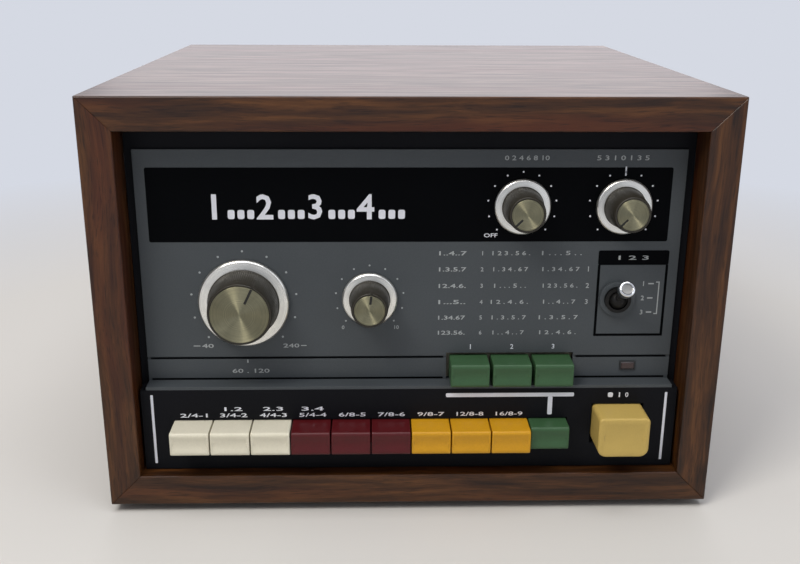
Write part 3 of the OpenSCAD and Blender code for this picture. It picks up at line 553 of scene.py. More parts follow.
def walnut(name, wood, along):
    """Veneered walnut, stained and lacquered satin: bands run along the grain, short dark pores lie in
    them, and the clear coat gives the top its pale sheen"""
    lacquer = {"Coat Weight": 0.3, "Coat Roughness": 0.26, "Specular IOR Level": 0.2}
    material, tree, shader, place = start(name, lacquer)
    # the grain is drawn out about 18 times along the board
    stretch = [1.0, 1.0, 1.0]
    stretch[along] = 0.055
    wander = noise(tree, place, 70, 1.0).outputs[1]
    waved = add(tree, "VectorMath", {0: wander, 1: mm(9, 9, 9), 2: place}, operation="MULTIPLY_ADD")
    drawn = add(tree, "Mapping", {"Vector": waved.outputs[0], "Scale": stretch}).outputs[0]
    bands = noise(tree, drawn, wood.band / MM, 5.0, 0.62).outputs[0]
    ramp = add(tree, "ValToRGB", {0: bands})
    ramp.color_ramp.elements[0].position = 0.33
    ramp.color_ramp.elements[0].color = wood.dark
    ramp.color_ramp.elements[1].position = 0.68
    ramp.color_ramp.elements[1].color = wood.light
    ramp.color_ramp.elements.new(0.5).color = wood.middle
    flush = remap(tree, noise(tree, drawn, 16, 2.0).outputs[0], 0.46, 0.72, 0.0, 0.75)
    warm = blend(tree, flush, ramp.outputs[0], list(wood.red))
    # pores are 0.1 to 0.3 mm wide in walnut; they are drawn 0.6 mm wide to show at all
    pits = remap(tree, noise(tree, drawn, 0.6, 1.0).outputs[0], 0.30, 0.44, 0.55, 1.0)
    wire(tree, shader, {
        "Base Color": dim(tree, warm, pits),
        "Roughness": remap(tree, bands, 0.3, 0.7, 0.46, 0.34),
        "Normal": bumps(tree, 0.35, 0.06, pits),
    })
    return material


def spun(name, tone, x, z, rough, anisotropic):
    """Aluminium turned on a lathe: fine rings round its axis draw every light out into rays"""
    turned_metal = {"Metallic": 1.0, "Anisotropic": anisotropic, "Anisotropic Rotation": 0.25}
    material, tree, shader, place = start(name, turned_metal)
    offset = add(tree, "VectorMath", {0: place, 1: mm(-x, 0, -z)}, operation="ADD")
    flat = add(tree, "VectorMath", {0: offset.outputs[0], 1: (1, 0, 1)}, operation="MULTIPLY")
    radius = add(tree, "VectorMath", {0: flat.outputs[0]}, operation="LENGTH").outputs["Value"]
    # tool marks are about 0.1 mm apart; they are drawn at 0.45 mm to show
    marks = {"W": radius, "Scale": per(0.45), "Detail": 3.0}
    rings = add(tree, "TexNoise", marks, noise_dimensions="1D").outputs[0]
    smear = noise(tree, place, 7, 3.0).outputs[0]
    both = add(tree, "Math", {0: rings, 1: smear}, operation="ADD").outputs[0]
    wire(tree, shader, {
        "Base Color": dim(tree, list(tone)[:3], remap(tree, both, 0.7, 1.3, 0.82, 1.08)),
        "Roughness": remap(tree, both, 0.7, 1.3, rough + 0.06, rough - 0.05),
        "Normal": bumps(tree, 0.25, 0.02, rings),
        "Tangent": add(tree, "Tangent", direction_type="RADIAL", axis="Y").outputs[0],
    })
    return material


def laminated(name, tone):
    """Silicon steel sheets, 0.5 mm each, stacked and varnished: fine lines run round the core"""
    material, tree, shader, place = start(name, {"Metallic": 0.6, "Roughness": 0.45})
    waves = {"Vector": place, "Scale": per(6.3), "Distortion": 0.4, "Detail": 1.0}
    layers = add(tree, "TexWave", waves, bands_direction="Y").outputs[1]
    rust = noise(tree, place, 9, 4.0).outputs[0]
    both = add(tree, "Math", {0: layers, 1: rust}, operation="MULTIPLY").outputs[0]
    wire(tree, shader, {
        "Base Color": blend(tree, both, shade(tone, 0.5), shade(tone, 1.5)),
        "Normal": bumps(tree, 0.4, 0.1, layers),
    })
    return material


def board_resist(name, tone, copper):
    """Glass-epoxy board under green solder resist: the copper tracks show through as lighter lines"""
    material, tree, shader, place = start(name, {"Roughness": 0.35, "Coat Weight": 0.3})
    colours = {"Color1": shade(tone, 0.9), "Color2": shade(tone, 1.1), "Mortar": list(copper)}
    pattern = {"Vector": place, "Scale": per(9), "Mortar Size": 0.09, **colours}
    tracks = add(tree, "TexBrick", pattern, offset=0.37).outputs[0]
    weave = remap(tree, noise(tree, place, 1.2, 2.0).outputs[0], 0.3, 0.7, 0.85, 1.1)
    wire(tree, shader, {"Base Color": dim(tree, tracks, weave)})
    return material


def make_materials(scene):
    """Every finish of the machine, by its name here"""
    panel, controls, keys, wood = scene.drum_panel, scene.drum_controls, scene.drum_keys, scene.drum_wood
    metal = {"Metallic": 1.0}
    lens = {"Coat Weight": 0.5, "IOR": 1.49}

    def sheen(level):
        return {"Specular IOR Level": level}

    # name, tone, spread, size of the spots, range of roughness, size of the grain, its height, sockets
    finishes = {
        # stoved enamel on steel: a soft sheen, with the faint orange peel of sprayed paint
        "grey_enamel": ("stoved_grey_enamel", panel.grey, 0.1, 60, (0.36, 0.5), 0.7, 0.03, sheen(0.3)),
        "black_enamel": ("stoved_black_enamel", panel.black, 0.18, 45, (0.4, 0.55), 0.7, 0.03, sheen(0.08)),
        # screen-printing ink: a thick, even film with little shine
        "header_ink": ("black_screen_ink", panel.band, 0.2, 30, (0.36, 0.48), 0.9, 0.01, sheen(0.03)),
        "white_ink": ("white_screen_ink", panel.ink, 0.05, 6, (0.45, 0.6), 0.5, 0.01),
        "faint_ink": ("grey_screen_ink", panel.faint, 0.1, 5, (0.5, 0.65), 0.5, 0.01),
        # phenolic, compression moulded: hard and deep brown-black with a dull polish
        "phenolic": ("moulded_phenolic", controls.plastic, 0.22, 5, (0.36, 0.52), 0.6, 0.03, sheen(0.4)),
        # phenolic laminated with paper: red-brown, with a dull sheen
        "red_phenolic": ("laminated_phenolic", linear("#7a2c20"), 0.2, 8, (0.4, 0.55), 0.8, 0.03),
        # chromium over nickel, buffed: near mirror, with a few smudges of handling
        "chrome": ("chromium_plate", controls.chrome, 0.05, 6, (0.06, 0.18), 3, 0.003, metal),
        # blackened steel: dark grey, part metal and part oxide to the eye
        "black_oxide": (
            "black_oxide_steel", linear("#1d1c1b"), 0.2, 4, (0.3, 0.45), 0.6, 0.02, {"Metallic": 0.7}
        ),
        # zinc plate on steel: grey with a dull yellowish bloom
        "zinc": ("zinc_plated_steel", linear("#a9a698"), 0.16, 12, (0.32, 0.5), 1.2, 0.02, metal),
        # bare machined steel: mid grey, with soft highlights
        "steel": ("bright_steel", linear("#8f8e8a"), 0.14, 5, (0.28, 0.42), 0.8, 0.02, metal),
        # ABS, injection moulded: an even satin gloss, a little clouded by age
        "cream_abs": ("cream_abs", keys.cream, 0.05, 7, (0.3, 0.42), 0.8, 0.02, sheen(0.3)),
        "red_abs": ("dark_red_abs", keys.red, 0.12, 7, (0.28, 0.42), 0.8, 0.02, sheen(0.3)),
        "yellow_abs": ("yellow_abs", keys.yellow, 0.07, 7, (0.3, 0.42), 0.8, 0.02, sheen(0.3)),
        "green_abs": ("green_abs", keys.green, 0.1, 7, (0.3, 0.42), 0.8, 0.02, sheen(0.3)),
        "start_abs": ("pale_yellow_abs", keys.start, 0.05, 9, (0.3, 0.42), 0.8, 0.02, sheen(0.3)),
        "white_abs": ("ivory_abs", linear("#cfc9b4"), 0.06, 8, (0.4, 0.5), 0.8, 0.02),
        "black_abs": ("black_abs", linear("#191a1b"), 0.15, 8, (0.34, 0.48), 0.8, 0.02),
        # red acrylic lens, unlit: nearly black until light gets into it
        "lens": ("dark_red_acrylic", linear("#2b0d0b"), 0.2, 3, (0.08, 0.16), 1.5, 0.01, lens),
        # black rubber, moulded: dull, with a grey bloom
        "rubber": ("moulded_rubber", linear("#202021"), 0.2, 6, (0.7, 0.85), 0.7, 0.05),
        # sawn pine: pale, dry and fibrous
        "pine": ("sawn_pine", linear("#b98f5c"), 0.16, 5, (0.65, 0.8), 0.9, 0.08),
        # black paint in an engraved line
        "paint": ("engraving_paint", linear("#15130f"), 0.2, 2, (0.5, 0.65), 0.5, 0.01),
    }
    made = {key: surface(*values) for key, values in finishes.items()}
    made["walnut_across"] = walnut("walnut_veneer_across", wood, 0)
    made["walnut_up"] = walnut("walnut_veneer_upright", wood, 2)
    made["epoxy"] = board_resist("epoxy_board", linear("#1f5a37"), linear("#6f8f4c"))
    made["core"] = laminated("transformer_laminations", linear("#4a4d52"))
    for name, knob in KNOBS.items():
        place = (knob.x, knob.z)
        made[name + "_cap"] = spun("spun_aluminium_cap_" + name, controls.cap, *place, 0.56, 1.0)
        made[name + "_ring"] = spun("turned_aluminium_ring_" + name, controls.aluminium, *place, 0.3, 0.5)
    return made


MADE = {}
SLOT_FINISHES = {
    "walnut_board": "walnut_across",
    "glue_block": "pine",
    "foot_rubber": "rubber",
    "steel_hardware": "steel",
    "zinc_plate": "zinc",
    "black_enamel": "black_enamel",
    "grey_enamel": "grey_enamel",
    "pot_steel": "zinc",
    "switch_phenolic": "red_phenolic",
    "chromed_handle": "chrome",
    "knob_plastic": "phenolic",
    "ring_aluminium": "steel",
    "cap_aluminium": "steel",
    "shaft_steel": "steel",
    "cream_key": "cream_abs",
    "red_key": "red_abs",
    "yellow_key": "yellow_abs",
    "green_key": "green_abs",
    "start_key_plastic": "start_abs",
    "switch_body": "white_abs",
    "lamp_lens": "lens",
    "circuit_board": "epoxy",
    "transformer_iron": "core",
    "jack_plastic": "black_abs",
}


# ---- the pieces ----


class DRUM_OT_materials(bpy.types.Operator):
    """Make every finish and give each CAD node the one of its material slot"""

    bl_idname = "drum.materials"
    bl_label = "Finishes"

    def execute(self, context):
        MADE.update(make_materials(context.scene))
        for name, node in frame["nodes"].items():
            finish = SLOT_FINISHES[CAD_SLOTS[name]]
            if name in ("cabinet_left", "cabinet_right"):
                finish = "walnut_up"
            if name.split("_")[0] in KNOBS and name.split("_")[1] in ("cap", "ring"):
                finish = name
            node.material_slots[0].material = MADE[finish]
        return {"FINISHED"}


class DRUM_OT_cabinet(bpy.types.Operator):
    """Make the four mitred walnut boards of the sleeve"""

    bl_idname = "drum.cabinet"
    bl_label = "Cabinet boards"

    def execute(self, context):
        wood = context.scene.drum_wood
        boards = {  # two corners, the axis of the grain, and the way into the sleeve
            "top": ((-HALF_W, FRONT_Y, HIGH_Z - BOARD), (HALF_W, REAR_Y, HIGH_Z), 0, (0, 0, -1)),
            "bottom": ((-HALF_W, FRONT_Y, LOW_Z), (HALF_W, REAR_Y, LOW_Z + BOARD), 0, (0, 0, 1)),
            "left": ((-HALF_W, FRONT_Y, LOW_Z), (-HALF_W + BOARD, REAR_Y, HIGH_Z), 2, (1, 0, 0)),
            "right": ((HALF_W - BOARD, FRONT_Y, LOW_Z), (HALF_W, REAR_Y, HIGH_Z), 2, (-1, 0, 0)),
        }
        middle_z, rise = (HIGH_Z + LOW_Z) / 2, (HIGH_Z - LOW_Z) / 2
        for side, (corner, opposite, along, inward) in boards.items():
            piece = block(f"cabinet_{side}_board", corner, opposite)
            for end in (-1, 1):
                ahead = Vector((end, 0, 0) if along == 0 else (0, 0, end))
                # the cut runs from the outer corner of the sleeve to its inner corner
                out = ahead - Vector(inward)
                outer = mm(out.x * HALF_W, 0, middle_z + out.z * rise)
                slant = (ahead + Vector(inward)).normalized()
                edit(piece)
                bpy.ops.mesh.bisect(plane_co=outer, plane_no=slant, use_fill=True, clear_outer=True)
                rest()
            edit(piece)
            select("EDGE", lambda c, e: abs((e.verts[1].co - e.verts[0].co).normalized()[along]) > 0.99)
            bpy.ops.mesh.bevel(offset=wood.arris, segments=3, affect="EDGES")
            select("EDGE", lambda c, e: all(on_mitre(v.co) for v in e.verts))
            bpy.ops.mesh.bevel(offset=wood.mitre, segments=1, affect="EDGES")
            rest()
            if side == "bottom":
                # countersunk holes for the chassis bolts, and pilot holes for the screws of the feet
                bolt_hole = [(4.3, 0), (4.3, 3.9), (2.3, 3.9), (2.3, 20)]
                for x, y in BOLTS:
                    carve(piece, turned("cutter", bolt_hole, 32, (x, y, LOW_Z - 1), 0))
                for x, y in FEET:
                    carve(piece, turned("cutter", [(1.65, 0), (1.65, 10.3)], 24, (x, y, LOW_Z - 1), 0))
            grain = MADE["walnut_up"] if along else MADE["walnut_across"]
            fit(piece, "cabinet", "walnut_board", [grain], "cabinet_" + side)
        return {"FINISHED"}


def on_mitre(point):
    """Whether a point lies in one of the four planes where the boards meet"""
    x, z = HALF_W - abs(point.x) / MM, point.z / MM
    return min(abs(x - (HIGH_Z - z)), abs(x - (z - LOW_Z))) < 0.01


class DRUM_OT_panels(bpy.types.Operator):
    """Ease the edges of the faceplate and the key panel"""

    bl_idname = "drum.panels"
    bl_label = "Front panels"

    def execute(self, context):
        edge = context.scene.drum_panel.edge / MM
        eased("front_panel", edge, [MADE["grey_enamel"]])
        eased("key_panel", edge, [MADE["black_enamel"]])
        return {"FINISHED"}


class DRUM_OT_print(bpy.types.Operator):
    """Print the header, the dials, the chart and the numerals"""

    bl_idname = "drum.print"
    bl_label = "Printing"

    def execute(self, context):
        film_t = context.scene.drum_panel.film / MM
        over = FACE_Y - film_t
        band = film("header_band", [(-118.5, 117.4, 129.6, 163.9)], FACE_Y, film_t)
        for name in ("volume", "balance"):
            hole = [(6.6, -2), (6.6, 2)]
            carve(band, turned("cutter", hole, 32, (KNOBS[name].x, FACE_Y, KNOBS[name].z)))
        printed("header_band", "header_ink", [band])

        # beat scale in the header: four numerals, three squares after each
        words, marks = [], []
        for beat in range(4):
            x = -88.5 + beat * 22.6
            words.append((str(beat + 1), x, 146.0, 11.6, None))
            for step in range(3):
                left = x + 5.9 + step * 4.4
                marks.append((left, left + 3.1, 140.4, 144.6))
        # dots of the header dials, the tick over the balance knob, and the OFF mark
        marks += dial(KNOBS["volume"], 15.6, 0.42) + dial(KNOBS["balance"], 15.6, 0.42)
        marks.append((KNOBS["balance"].x, KNOBS["balance"].z + 15.9, 4.2, 0.7, 0))
        numerals = lettering("header_numerals", words, over, film_t, 0.02)
        off = lettering("off_mark", [("OFF", 36.2, 132.6, 1.9, 6.2)], over, film_t)
        printed("header_print", "white_ink", [numerals, off, film("header_marks", marks, over, film_t)])

        # labels over the header dials, tempo and fade scales, and the chart
        words = [
            ("0 2 4 6 8 10", 51.4, 168.2, 2.2, 20),
            ("5 3 1 0 1 3 5", 94.4, 168.2, 2.2, 23.5),
            ("40", -94.9, 79.2, 2.0, 5.5),
            ("240", -55.9, 79.2, 2.0, 7.5),
            ("60 . 120", -75.3, 66.5, 2.1, 17.5),
            ("0", -31.5, 88.2, 1.9, None),
            ("10", -6.5, 88.2, 1.9, None),
        ]
        chart = [
            "1 . . 4 . . 7", "1 . 3 . 5 . 7", "1 2 . 4 . 6 .",
            "1 . . . 5 . .", "1 . 3 4 . 6 7", "1 2 3 . 5 6 .",
        ]
        for row, z in enumerate((124.1, 116.4, 108.4, 100.5, 92.8, 85.3)):
            words.append((chart[row].replace(" ", ""), 19.2, z, 2.0, 12.6))
            words.append((str(row + 1), 32.8, z, 2.0, None))
            words.append((chart[-row - 1], 46.0, z, 2.0, 17.4 - 1.3 * (row % 3)))
            words.append((chart[(row + 3) % 6], 69.3, z, 2.0, 18.4 - 1.1 * (row % 4)))
            if 0 < row < 4:
                words.append((str(row), 82.0, z, 2.4, None))
        marks = dial(KNOBS["tempo"], 24.4, 0.5) + dial(KNOBS["fade"], 15.8, 0.42)
        marks += [(-76.9, -76.3, 70.6, 72.2), (-101.6, -98.4, 79.0, 79.4), (-51.4, -48.8, 79.0, 79.4)]
        numerals = lettering("chart_numerals", words, FACE_Y, film_t)
        printed("chart_print", "faint_ink", [numerals, film("chart_marks", marks, FACE_Y, film_t)])

        # the scored line over the selector keys and the inner corner along the fold are darkened with a black
        # film: painted shade in the groove and in the corner
        spans = ((-122.0, 15.6), (78.6, 121.6))
        lines = [(*span, *level) for level in ((72.75, 73.45), (62.1, 63.0)) for span in spans]
        printed("painted_shade_lines", "header_ink", [film("painted_shade_lines", lines, FACE_Y, film_t)])

        # box round the toggle, its title strip, and the marks of its three places
        lines = [
            (86.3, 119.0, 118.3, 125.3),
            (86.3, 87.5, 83.3, 118.4),
            (117.8, 119.0, 83.3, 118.4),
            (87.4, 117.9, 83.3, 84.5),
        ]
        printed("toggle_box", "header_ink", [film("toggle_box", lines, FACE_Y, film_t)])
        levels = (109.2, 102.2, 95.2)
        words = [(str(i + 1), 108.2, z, 2.3, None) for i, z in enumerate(levels)]
        marks = [(110.4, 113.0, z - 0.3, z + 0.3) for z in levels]
        marks += [(115.2, 115.7, 94.2, 110.2), (114.0, 115.3, 109.7, 110.2), (114.0, 115.3, 94.2, 94.7)]
        numerals = lettering("toggle_numerals", words, FACE_Y, film_t)
        printed("toggle_print", "faint_ink", [numerals, film("toggle_marks", marks, FACE_Y, film_t)])
        title = lettering("toggle_title", [("1 2 3", 102.6, 121.8, 2.0, 14)], over, film_t)
        printed("toggle_title", "faint_ink", [title])

        # numerals over the selector keys
        words = [(str(i + 1), x + 0.8, 78.2, 2.4, None) for i, (x, z) in enumerate(SELECTORS)]
        printed("selector_print", "white_ink", [lettering("selector_print", words, FACE_Y, film_t)])

        # key panel: white end lines, painted highlights where light catches its two side edges; the bracket
        # under the selectors with its leg to the tenth key, and the labels
        marks = [
            (16.7, 77.3, 55.9, 57.9),
            (65.0, 67.2, 46.6, 56.0),
            # the two end lines are painted highlights: white ink standing in for light on the panel's edges
            (-121.7, -120.5, 22.4, 57.8),
            (120.5, 121.7, 22.4, 57.8),
            (93.4, 95.8, 55.4, 57.8),
        ]
        words = [("I", 98.9, 56.6, 2.4, 0.6), ("0", 102.4, 56.6, 2.4, None)]
        beats = ["2/4", "3/4", "4/4", "5/4", "6/8", "7/8", "9/8", "12/8", "16/8"]
        for i, text in enumerate(beats):
            x, z = ROW[i]
            words.append((text + "-" + str(i + 1), x + 0.4, 47.2, 2.0, 12.8))
            if 0 < i < 4:
                words.append((str(i) + "." + str(i + 1), x + 0.4, 50.4, 2.0, 7.5 + i))
        numerals = lettering("key_numerals", words, KEY_PANEL_Y, film_t)
        lines = film("key_marks_and_painted_highlights", marks, KEY_PANEL_Y, film_t)
        printed("key_panel_print_and_painted_highlights", "white_ink", [numerals, lines], "black_enamel")
        return {"FINISHED"}


class DRUM_OT_knobs(bpy.types.Operator):
    """Make the fluted bodies, rolled rings and spun caps of the four knobs"""

    bl_idname = "drum.knobs"
    bl_label = "Knobs"

    def execute(self, context):
        # the face of a cap stands before this, and the floor of its engraved line behind it
        engraved_y = FACE_Y - 18.05
        for name, knob in KNOBS.items():
            rider = name + "_control"
            body = self.body(name, knob, context.scene.drum_controls)
            fit(body, rider, "knob_plastic", [MADE["phenolic"]], name + "_knob")
            ring = self.ring(name, knob)
            fit(ring, rider, "ring_aluminium", [MADE[name + "_ring"]], name + "_ring")
            cap = self.cap(name, knob)
            fit(cap, rider, "cap_aluminium", [MADE[name + "_cap"], MADE["paint"]], name + "_cap")
            paint(cap, 1, lambda c, f: f.normal.y < -0.9 and c.y > engraved_y)
        return {"FINISHED"}

    def body(self, name, knob, controls):
        x, z, body_r, cap_r = knob.x, knob.z, knob.body_r, knob.cap_r
        flutes = round(2 * math.pi * body_r / (controls.flute / MM))
        front_r = cap_r + 1.2
        pocket_r, shaft_r = 6.2, 3.05
        profile = [
            (body_r, 0.5), (body_r, 3.5), (body_r - 0.25, 3.9),
            (front_r + 0.12, 17.3), (front_r - 0.1, 17.75), (front_r - 0.35, 17.98),
            (cap_r + 0.45, 17.98), (cap_r + 0.15, 17.8), (cap_r + 0.08, 17.4),
        ]
        piece = turned(name + "_knob_body", profile, flutes * 2, (x, FACE_Y, z))
        edit(piece)
        # every other edge of the wall is drawn in, which leaves the flutes
        centre = Vector((x, 0, z))

        def is_valley(c, v):
            arm = c - centre
            around = math.atan2(arm.x, arm.z) / (2 * math.pi) * flutes * 2
            on_wall = FACE_Y - 17.6 < c.y < FACE_Y - 3.8 and math.hypot(arm.x, arm.z) > front_r
            return round(around) % 2 and on_wall

        select("VERT", is_valley)
        drawn_in = 1 - controls.flute_depth / MM / body_r
        resize(drawn_in, 1, drawn_in, mm(x, FACE_Y, z))
        # pocket over the nut and the bore for the shaft, from behind
        select("FACE", lambda c, f: f.normal.y > 0.99 and len(f.verts) > 20)
        bpy.ops.mesh.inset(thickness=mm(body_r - pocket_r))
        extrude(0, -5.1, 0)
        bpy.ops.mesh.inset(thickness=mm(pocket_r - shaft_r))
        extrude(0, -8.7, 0)
        outward()
        carve(piece, self.bar(knob, cap_r, cap_r + 2.4, 17.3))
        return piece

    def ring(self, name, knob):
        body_r, ring_r, roll = knob.body_r, knob.ring_r, 1.5
        profile = [(ring_r - roll, 0.5)] + arc(ring_r - roll, 0.5 + roll, roll, -90, 60, 11, 1)
        profile += [(ring_r - 2.2, 3.32), (body_r + 0.7, 3.42)]
        piece = turned(name + "_knob_ring", profile, 96, (knob.x, FACE_Y, knob.z))
        edit(piece)
        select("FACE", lambda c, f: f.normal.y > 0.99 and len(f.verts) > 20)
        bpy.ops.mesh.inset(thickness=mm(ring_r - roll - body_r - 0.05))
        select("FACE", lambda c, f: f.normal.y < -0.99 and len(f.verts) > 20)
        bpy.ops.mesh.inset(thickness=mm(0.65))
        select("FACE", lambda c, f: abs(f.normal.y) > 0.99 and len(f.verts) > 20)
        bpy.ops.mesh.bridge_edge_loops()
        outward()
        return piece

    def cap(self, name, knob):
        r = knob.cap_r
        profile = [
            (r, 17.42), (r, 18.05), (r - 0.06, 18.15), (r - 0.2, 18.2),
            (r - 0.9, 18.2), (r - 1.1, 18.14), (r * 0.5, 18.12), (r * 0.12, 18.1), (r * 0.05, 18.08),
        ]
        piece = turned(name + "_knob_cap", profile, 96, (knob.x, FACE_Y, knob.z))
        carve(piece, self.bar(knob, r * 0.42, r + 1, 17.8))
        return piece

    def bar(self, knob, inner, outer, deep):
        """Cutter for the pointer's line, between two radii, down to a height over the faceplate"""
        wide, clear = 0.55, 19
        bar = block("cutter", (-wide, FACE_Y - clear, inner), (wide, FACE_Y - deep, outer))
        turn = Matrix.Rotation(math.radians(knob.pointer), 4, "Y")
        bar.matrix_world = Matrix.Translation(mm(knob.x, 0, knob.z)) @ turn
        return bar


class DRUM_OT_toggle(bpy.types.Operator):
    """Make the chromed toggle handle, its bush, its nut and the lamp"""

    bl_idname = "drum.toggle"
    bl_label = "Toggle and lamp"

    def execute(self, context):
        # a tail, a ball on the cross pin, a waist, and a tip with a cupped end
        profile = [(1.2, -5.2)] + arc(0, 0, 4.2, -73.4, 63.1, 14)
        profile += [(1.95, 4.6), (2.0, 6.5), (2.35, 9.5), (3.1, 12.6), (3.65, 14.6), (3.8, 16.2), (3.8, 17.6)]
        profile += arc(2.8, 18, 1, 0, 90, 5, 1) + [(2.45, 18.8), (2.3, 18.1), (0.5, 18.0)]
        piece = turned("toggle_handle_lever", profile, 48, TOGGLE_PIVOT, 90 - TOGGLE_TILT)
        pin = turned("cutter", [(0.95, -6), (0.95, 6)], 24, (0, 0, 0), 0)
        pin.matrix_world = Matrix.Translation(mm(*TOGGLE_PIVOT)) @ Matrix.Rotation(math.pi / 2, 4, "Y")
        carve(piece, pin)
        finishes = [MADE["chrome"], MADE["steel"], MADE["black_oxide"]]
        fit(piece, "toggle_handle", "chromed_handle", finishes, "toggle_lever")
        pivot = Vector(TOGGLE_PIVOT)
        tilt = math.radians(TOGGLE_TILT)
        # the cupped end of the tip gets dull steel, darker than the chrome round it: painted shade for the
        # tip's dark middle
        cup = pivot + Vector((0, -math.cos(tilt), math.sin(tilt))) * 18.0
        paint(piece, 1, lambda c, f: (c - cup).length < 2.3)
        paint(piece, 2, lambda c, f: (c - pivot).length < 4.6)
        switch = eased("toggle_switch", 0.25, [MADE["red_phenolic"], MADE["black_oxide"]])
        paint(switch, 1, lambda c, f: c.y < FRAME_BACK_Y)
        # the toggle's nut is sprayed with the faceplate's enamel
        nuts = eased("control_nuts", 0.25, [MADE["zinc"], MADE["grey_enamel"]])
        paint(nuts, 1, lambda c, f: math.hypot(c.x - pivot.x, c.z - pivot.z) < 12)
        lamp = eased("tempo_lamp", 0.2, [MADE["black_abs"], MADE["lens"]])
        paint(lamp, 1, lambda c, f: c.y < FACE_Y - 0.65)
        return {"FINISHED"}


class DRUM_OT_keys(bpy.types.Operator):
    """Make the long row of tab keys, the selector keys and the start key"""

    bl_idname = "drum.keys"
    bl_label = "Keys"

    def execute(self, context):
        dish = context.scene.drum_keys.dish / MM
        first = self.tab("rhythm_tab", *ROW[0], *ROW_DEPTHS, dish)
        colours = ["cream"] * 3 + ["red"] * 3 + ["yellow"] * 3 + ["green"]
        for i, tint in enumerate(colours):
            # the tenth key is latched in
            latched = KEY_TRAVEL if i == 9 else 0
            key = copy(first, f"rhythm_tab_{i + 1}_key", KEY_PITCH * i, latched, 0)
            fit(key, f"rhythm_tab_{i + 1}", tint + "_key", [MADE[tint + "_abs"]], f"rhythm_key_{i + 1}")
        bpy.data.objects.remove(first)
        first = self.tab("selector_tab", *SELECTORS[0], *SELECTOR_DEPTHS, dish)
        for i, (x, z) in enumerate(SELECTORS):
            key = copy(first, f"selector_tab_{i + 1}_key", x - SELECTORS[0][0], 0, 0)
            fit(key, f"selector_tab_{i + 1}", "green_key", [MADE["green_abs"]], f"selector_key_{i + 1}")
        bpy.data.objects.remove(first)
        self.start_key(dish)
        return {"FINISHED"}

    def tab(self, name, x, z, front, back, end, dish):
        wide, high, top_r, arris, rim = 9.0, 5.7, 1.4, 0.45, 0.35
        piece = block(name, (x - wide, front, z - high), (x + wide, back, z + high))
        edit(piece)
        select("EDGE", lambda c, e: abs(c.y - front) < 0.01 and abs(c.x - x) < 0.01)
        bpy.ops.mesh.bevel(offset=mm(top_r), segments=5, affect="EDGES")
        select("EDGE", lambda c, e: abs(abs(c.x - x) - wide) < 0.01 and c.y < back - 0.01)
        bpy.ops.mesh.bevel(offset=mm(arris), segments=3, affect="EDGES")
        select("FACE", lambda c, f: f.normal.y < -0.999 and abs(c.z - z) < 1 and abs(c.x - x) < 1)
        bpy.ops.mesh.inset(thickness=mm(rim))
        self.hollow(x, z, front, wide - arris - rim, high - top_r - rim, dish)
        self.stem(x, z, back, end, wide, high)
        return piece

    def hollow(self, x, z, front, wide, high, dish):
        """Presses a dish that is round about X into the selected front face"""
        slope, rows, rim = 0.8, 9, wide
        bpy.ops.mesh.inset(thickness=mm(slope))
        wide, high = wide - slope, high - slope
        levels = [z - high + 2 * high * step / rows for step in range(rows + 1)]

        def in_front(c, reach):
            return abs(c.x - x) < reach and abs(c.y - front) < 0.01

        for level in levels[1:-1]:
            select("FACE", lambda c, f: f.normal.y < -0.99 and in_front(c, rim) and abs(c.z - z) < high)
            bpy.ops.mesh.bisect(plane_co=mm(x, front, level), plane_no=(0, 0, 1))
        for level in levels:
            sink = dish * (1 - 0.8 * ((level - z) / high) ** 2)
            select("VERT", lambda c, v: in_front(c, wide + 0.02) and abs(c.z - level) < 0.02)
            bpy.ops.transform.translate(value=mm(0, sink, 0))

    def stem(self, x, z, back, end, wide, high):
        """Draws the plunger out of the back of a key"""
        select("FACE", lambda c, f: f.normal.y > 0.99 and abs(c.y - back) < 0.01)
        extrude(0, 0, 0)
        resize(3.0 / wide, 1, 1.5 / high, mm(x, back, z))
        extrude(0, end - back, 0)
        bpy.ops.mesh.select_all(action="SELECT")
        bpy.ops.mesh.remove_doubles(threshold=1e-7)
        outward()

    def start_key(self, dish):
        x, z = START
        front, back, end = START_DEPTHS
        wide, high, rim, lower_r, upper_r = 11.9, 9.8, 2.4, 4.2, 2.2
        piece = block("start_tab_key", (x - wide, front, z - high), (x + wide, back, z + high))
        edit(piece)
        select("FACE", lambda c, f: f.normal.y < -0.999)
        bpy.ops.mesh.inset(thickness=mm(rim))
        self.hollow(x, z, front, wide - rim, high - rim, dish)

        def runs_back(e):
            return abs(e.verts[0].co.y - e.verts[1].co.y) > mm(5)

        def on_side(item):
            return any(abs(f.normal.y) < 0.1 for f in item.link_faces)

        def on_outline(v):
            return abs(v.co.y - mm(front)) < 1e-6 and on_side(v)

        select("EDGE", lambda c, e: runs_back(e) and c.z < z)
        bpy.ops.mesh.bevel(offset=mm(lower_r), segments=6, affect="EDGES")
        select("EDGE", lambda c, e: runs_back(e) and c.z > z + high - 0.1)
        bpy.ops.mesh.bevel(offset=mm(upper_r), segments=5, affect="EDGES")
        select("EDGE", lambda c, e: on_side(e) and all(on_outline(v) for v in e.verts))
        bpy.ops.mesh.bevel(offset=mm(1.0), segments=4, affect="EDGES")
        self.stem(x, z, back, end, wide, high)
        fit(piece, "start_tab", "start_key_plastic", [MADE["start_abs"]], "start_key")


class DRUM_OT_rear(bpy.types.Operator):
    """Ease the edges of the rear cover, its fittings, the screws and the feet"""

    bl_idname = "drum.rear"
    bl_label = "Rear and underside"

    def execute(self, context):
        eased("rear_cover", 0.3, [MADE["black_enamel"]])
        jacks = eased("output_jacks", 0.25, [MADE["black_abs"], MADE["zinc"]])
        paint(jacks, 1, lambda c, f: c.y > COVER_Y)
        eased("cord_gland", 0.4, [MADE["black_abs"]])
        eased("fuse_holder", 0.4, [MADE["black_abs"]])
        eased("rear_screws", 0.3, [MADE["steel"]])
        eased("chassis_bolts", 0.3, [MADE["steel"]])
        eased("rubber_feet", 0.8, [MADE["rubber"]], 3)
        return {"FINISHED"}


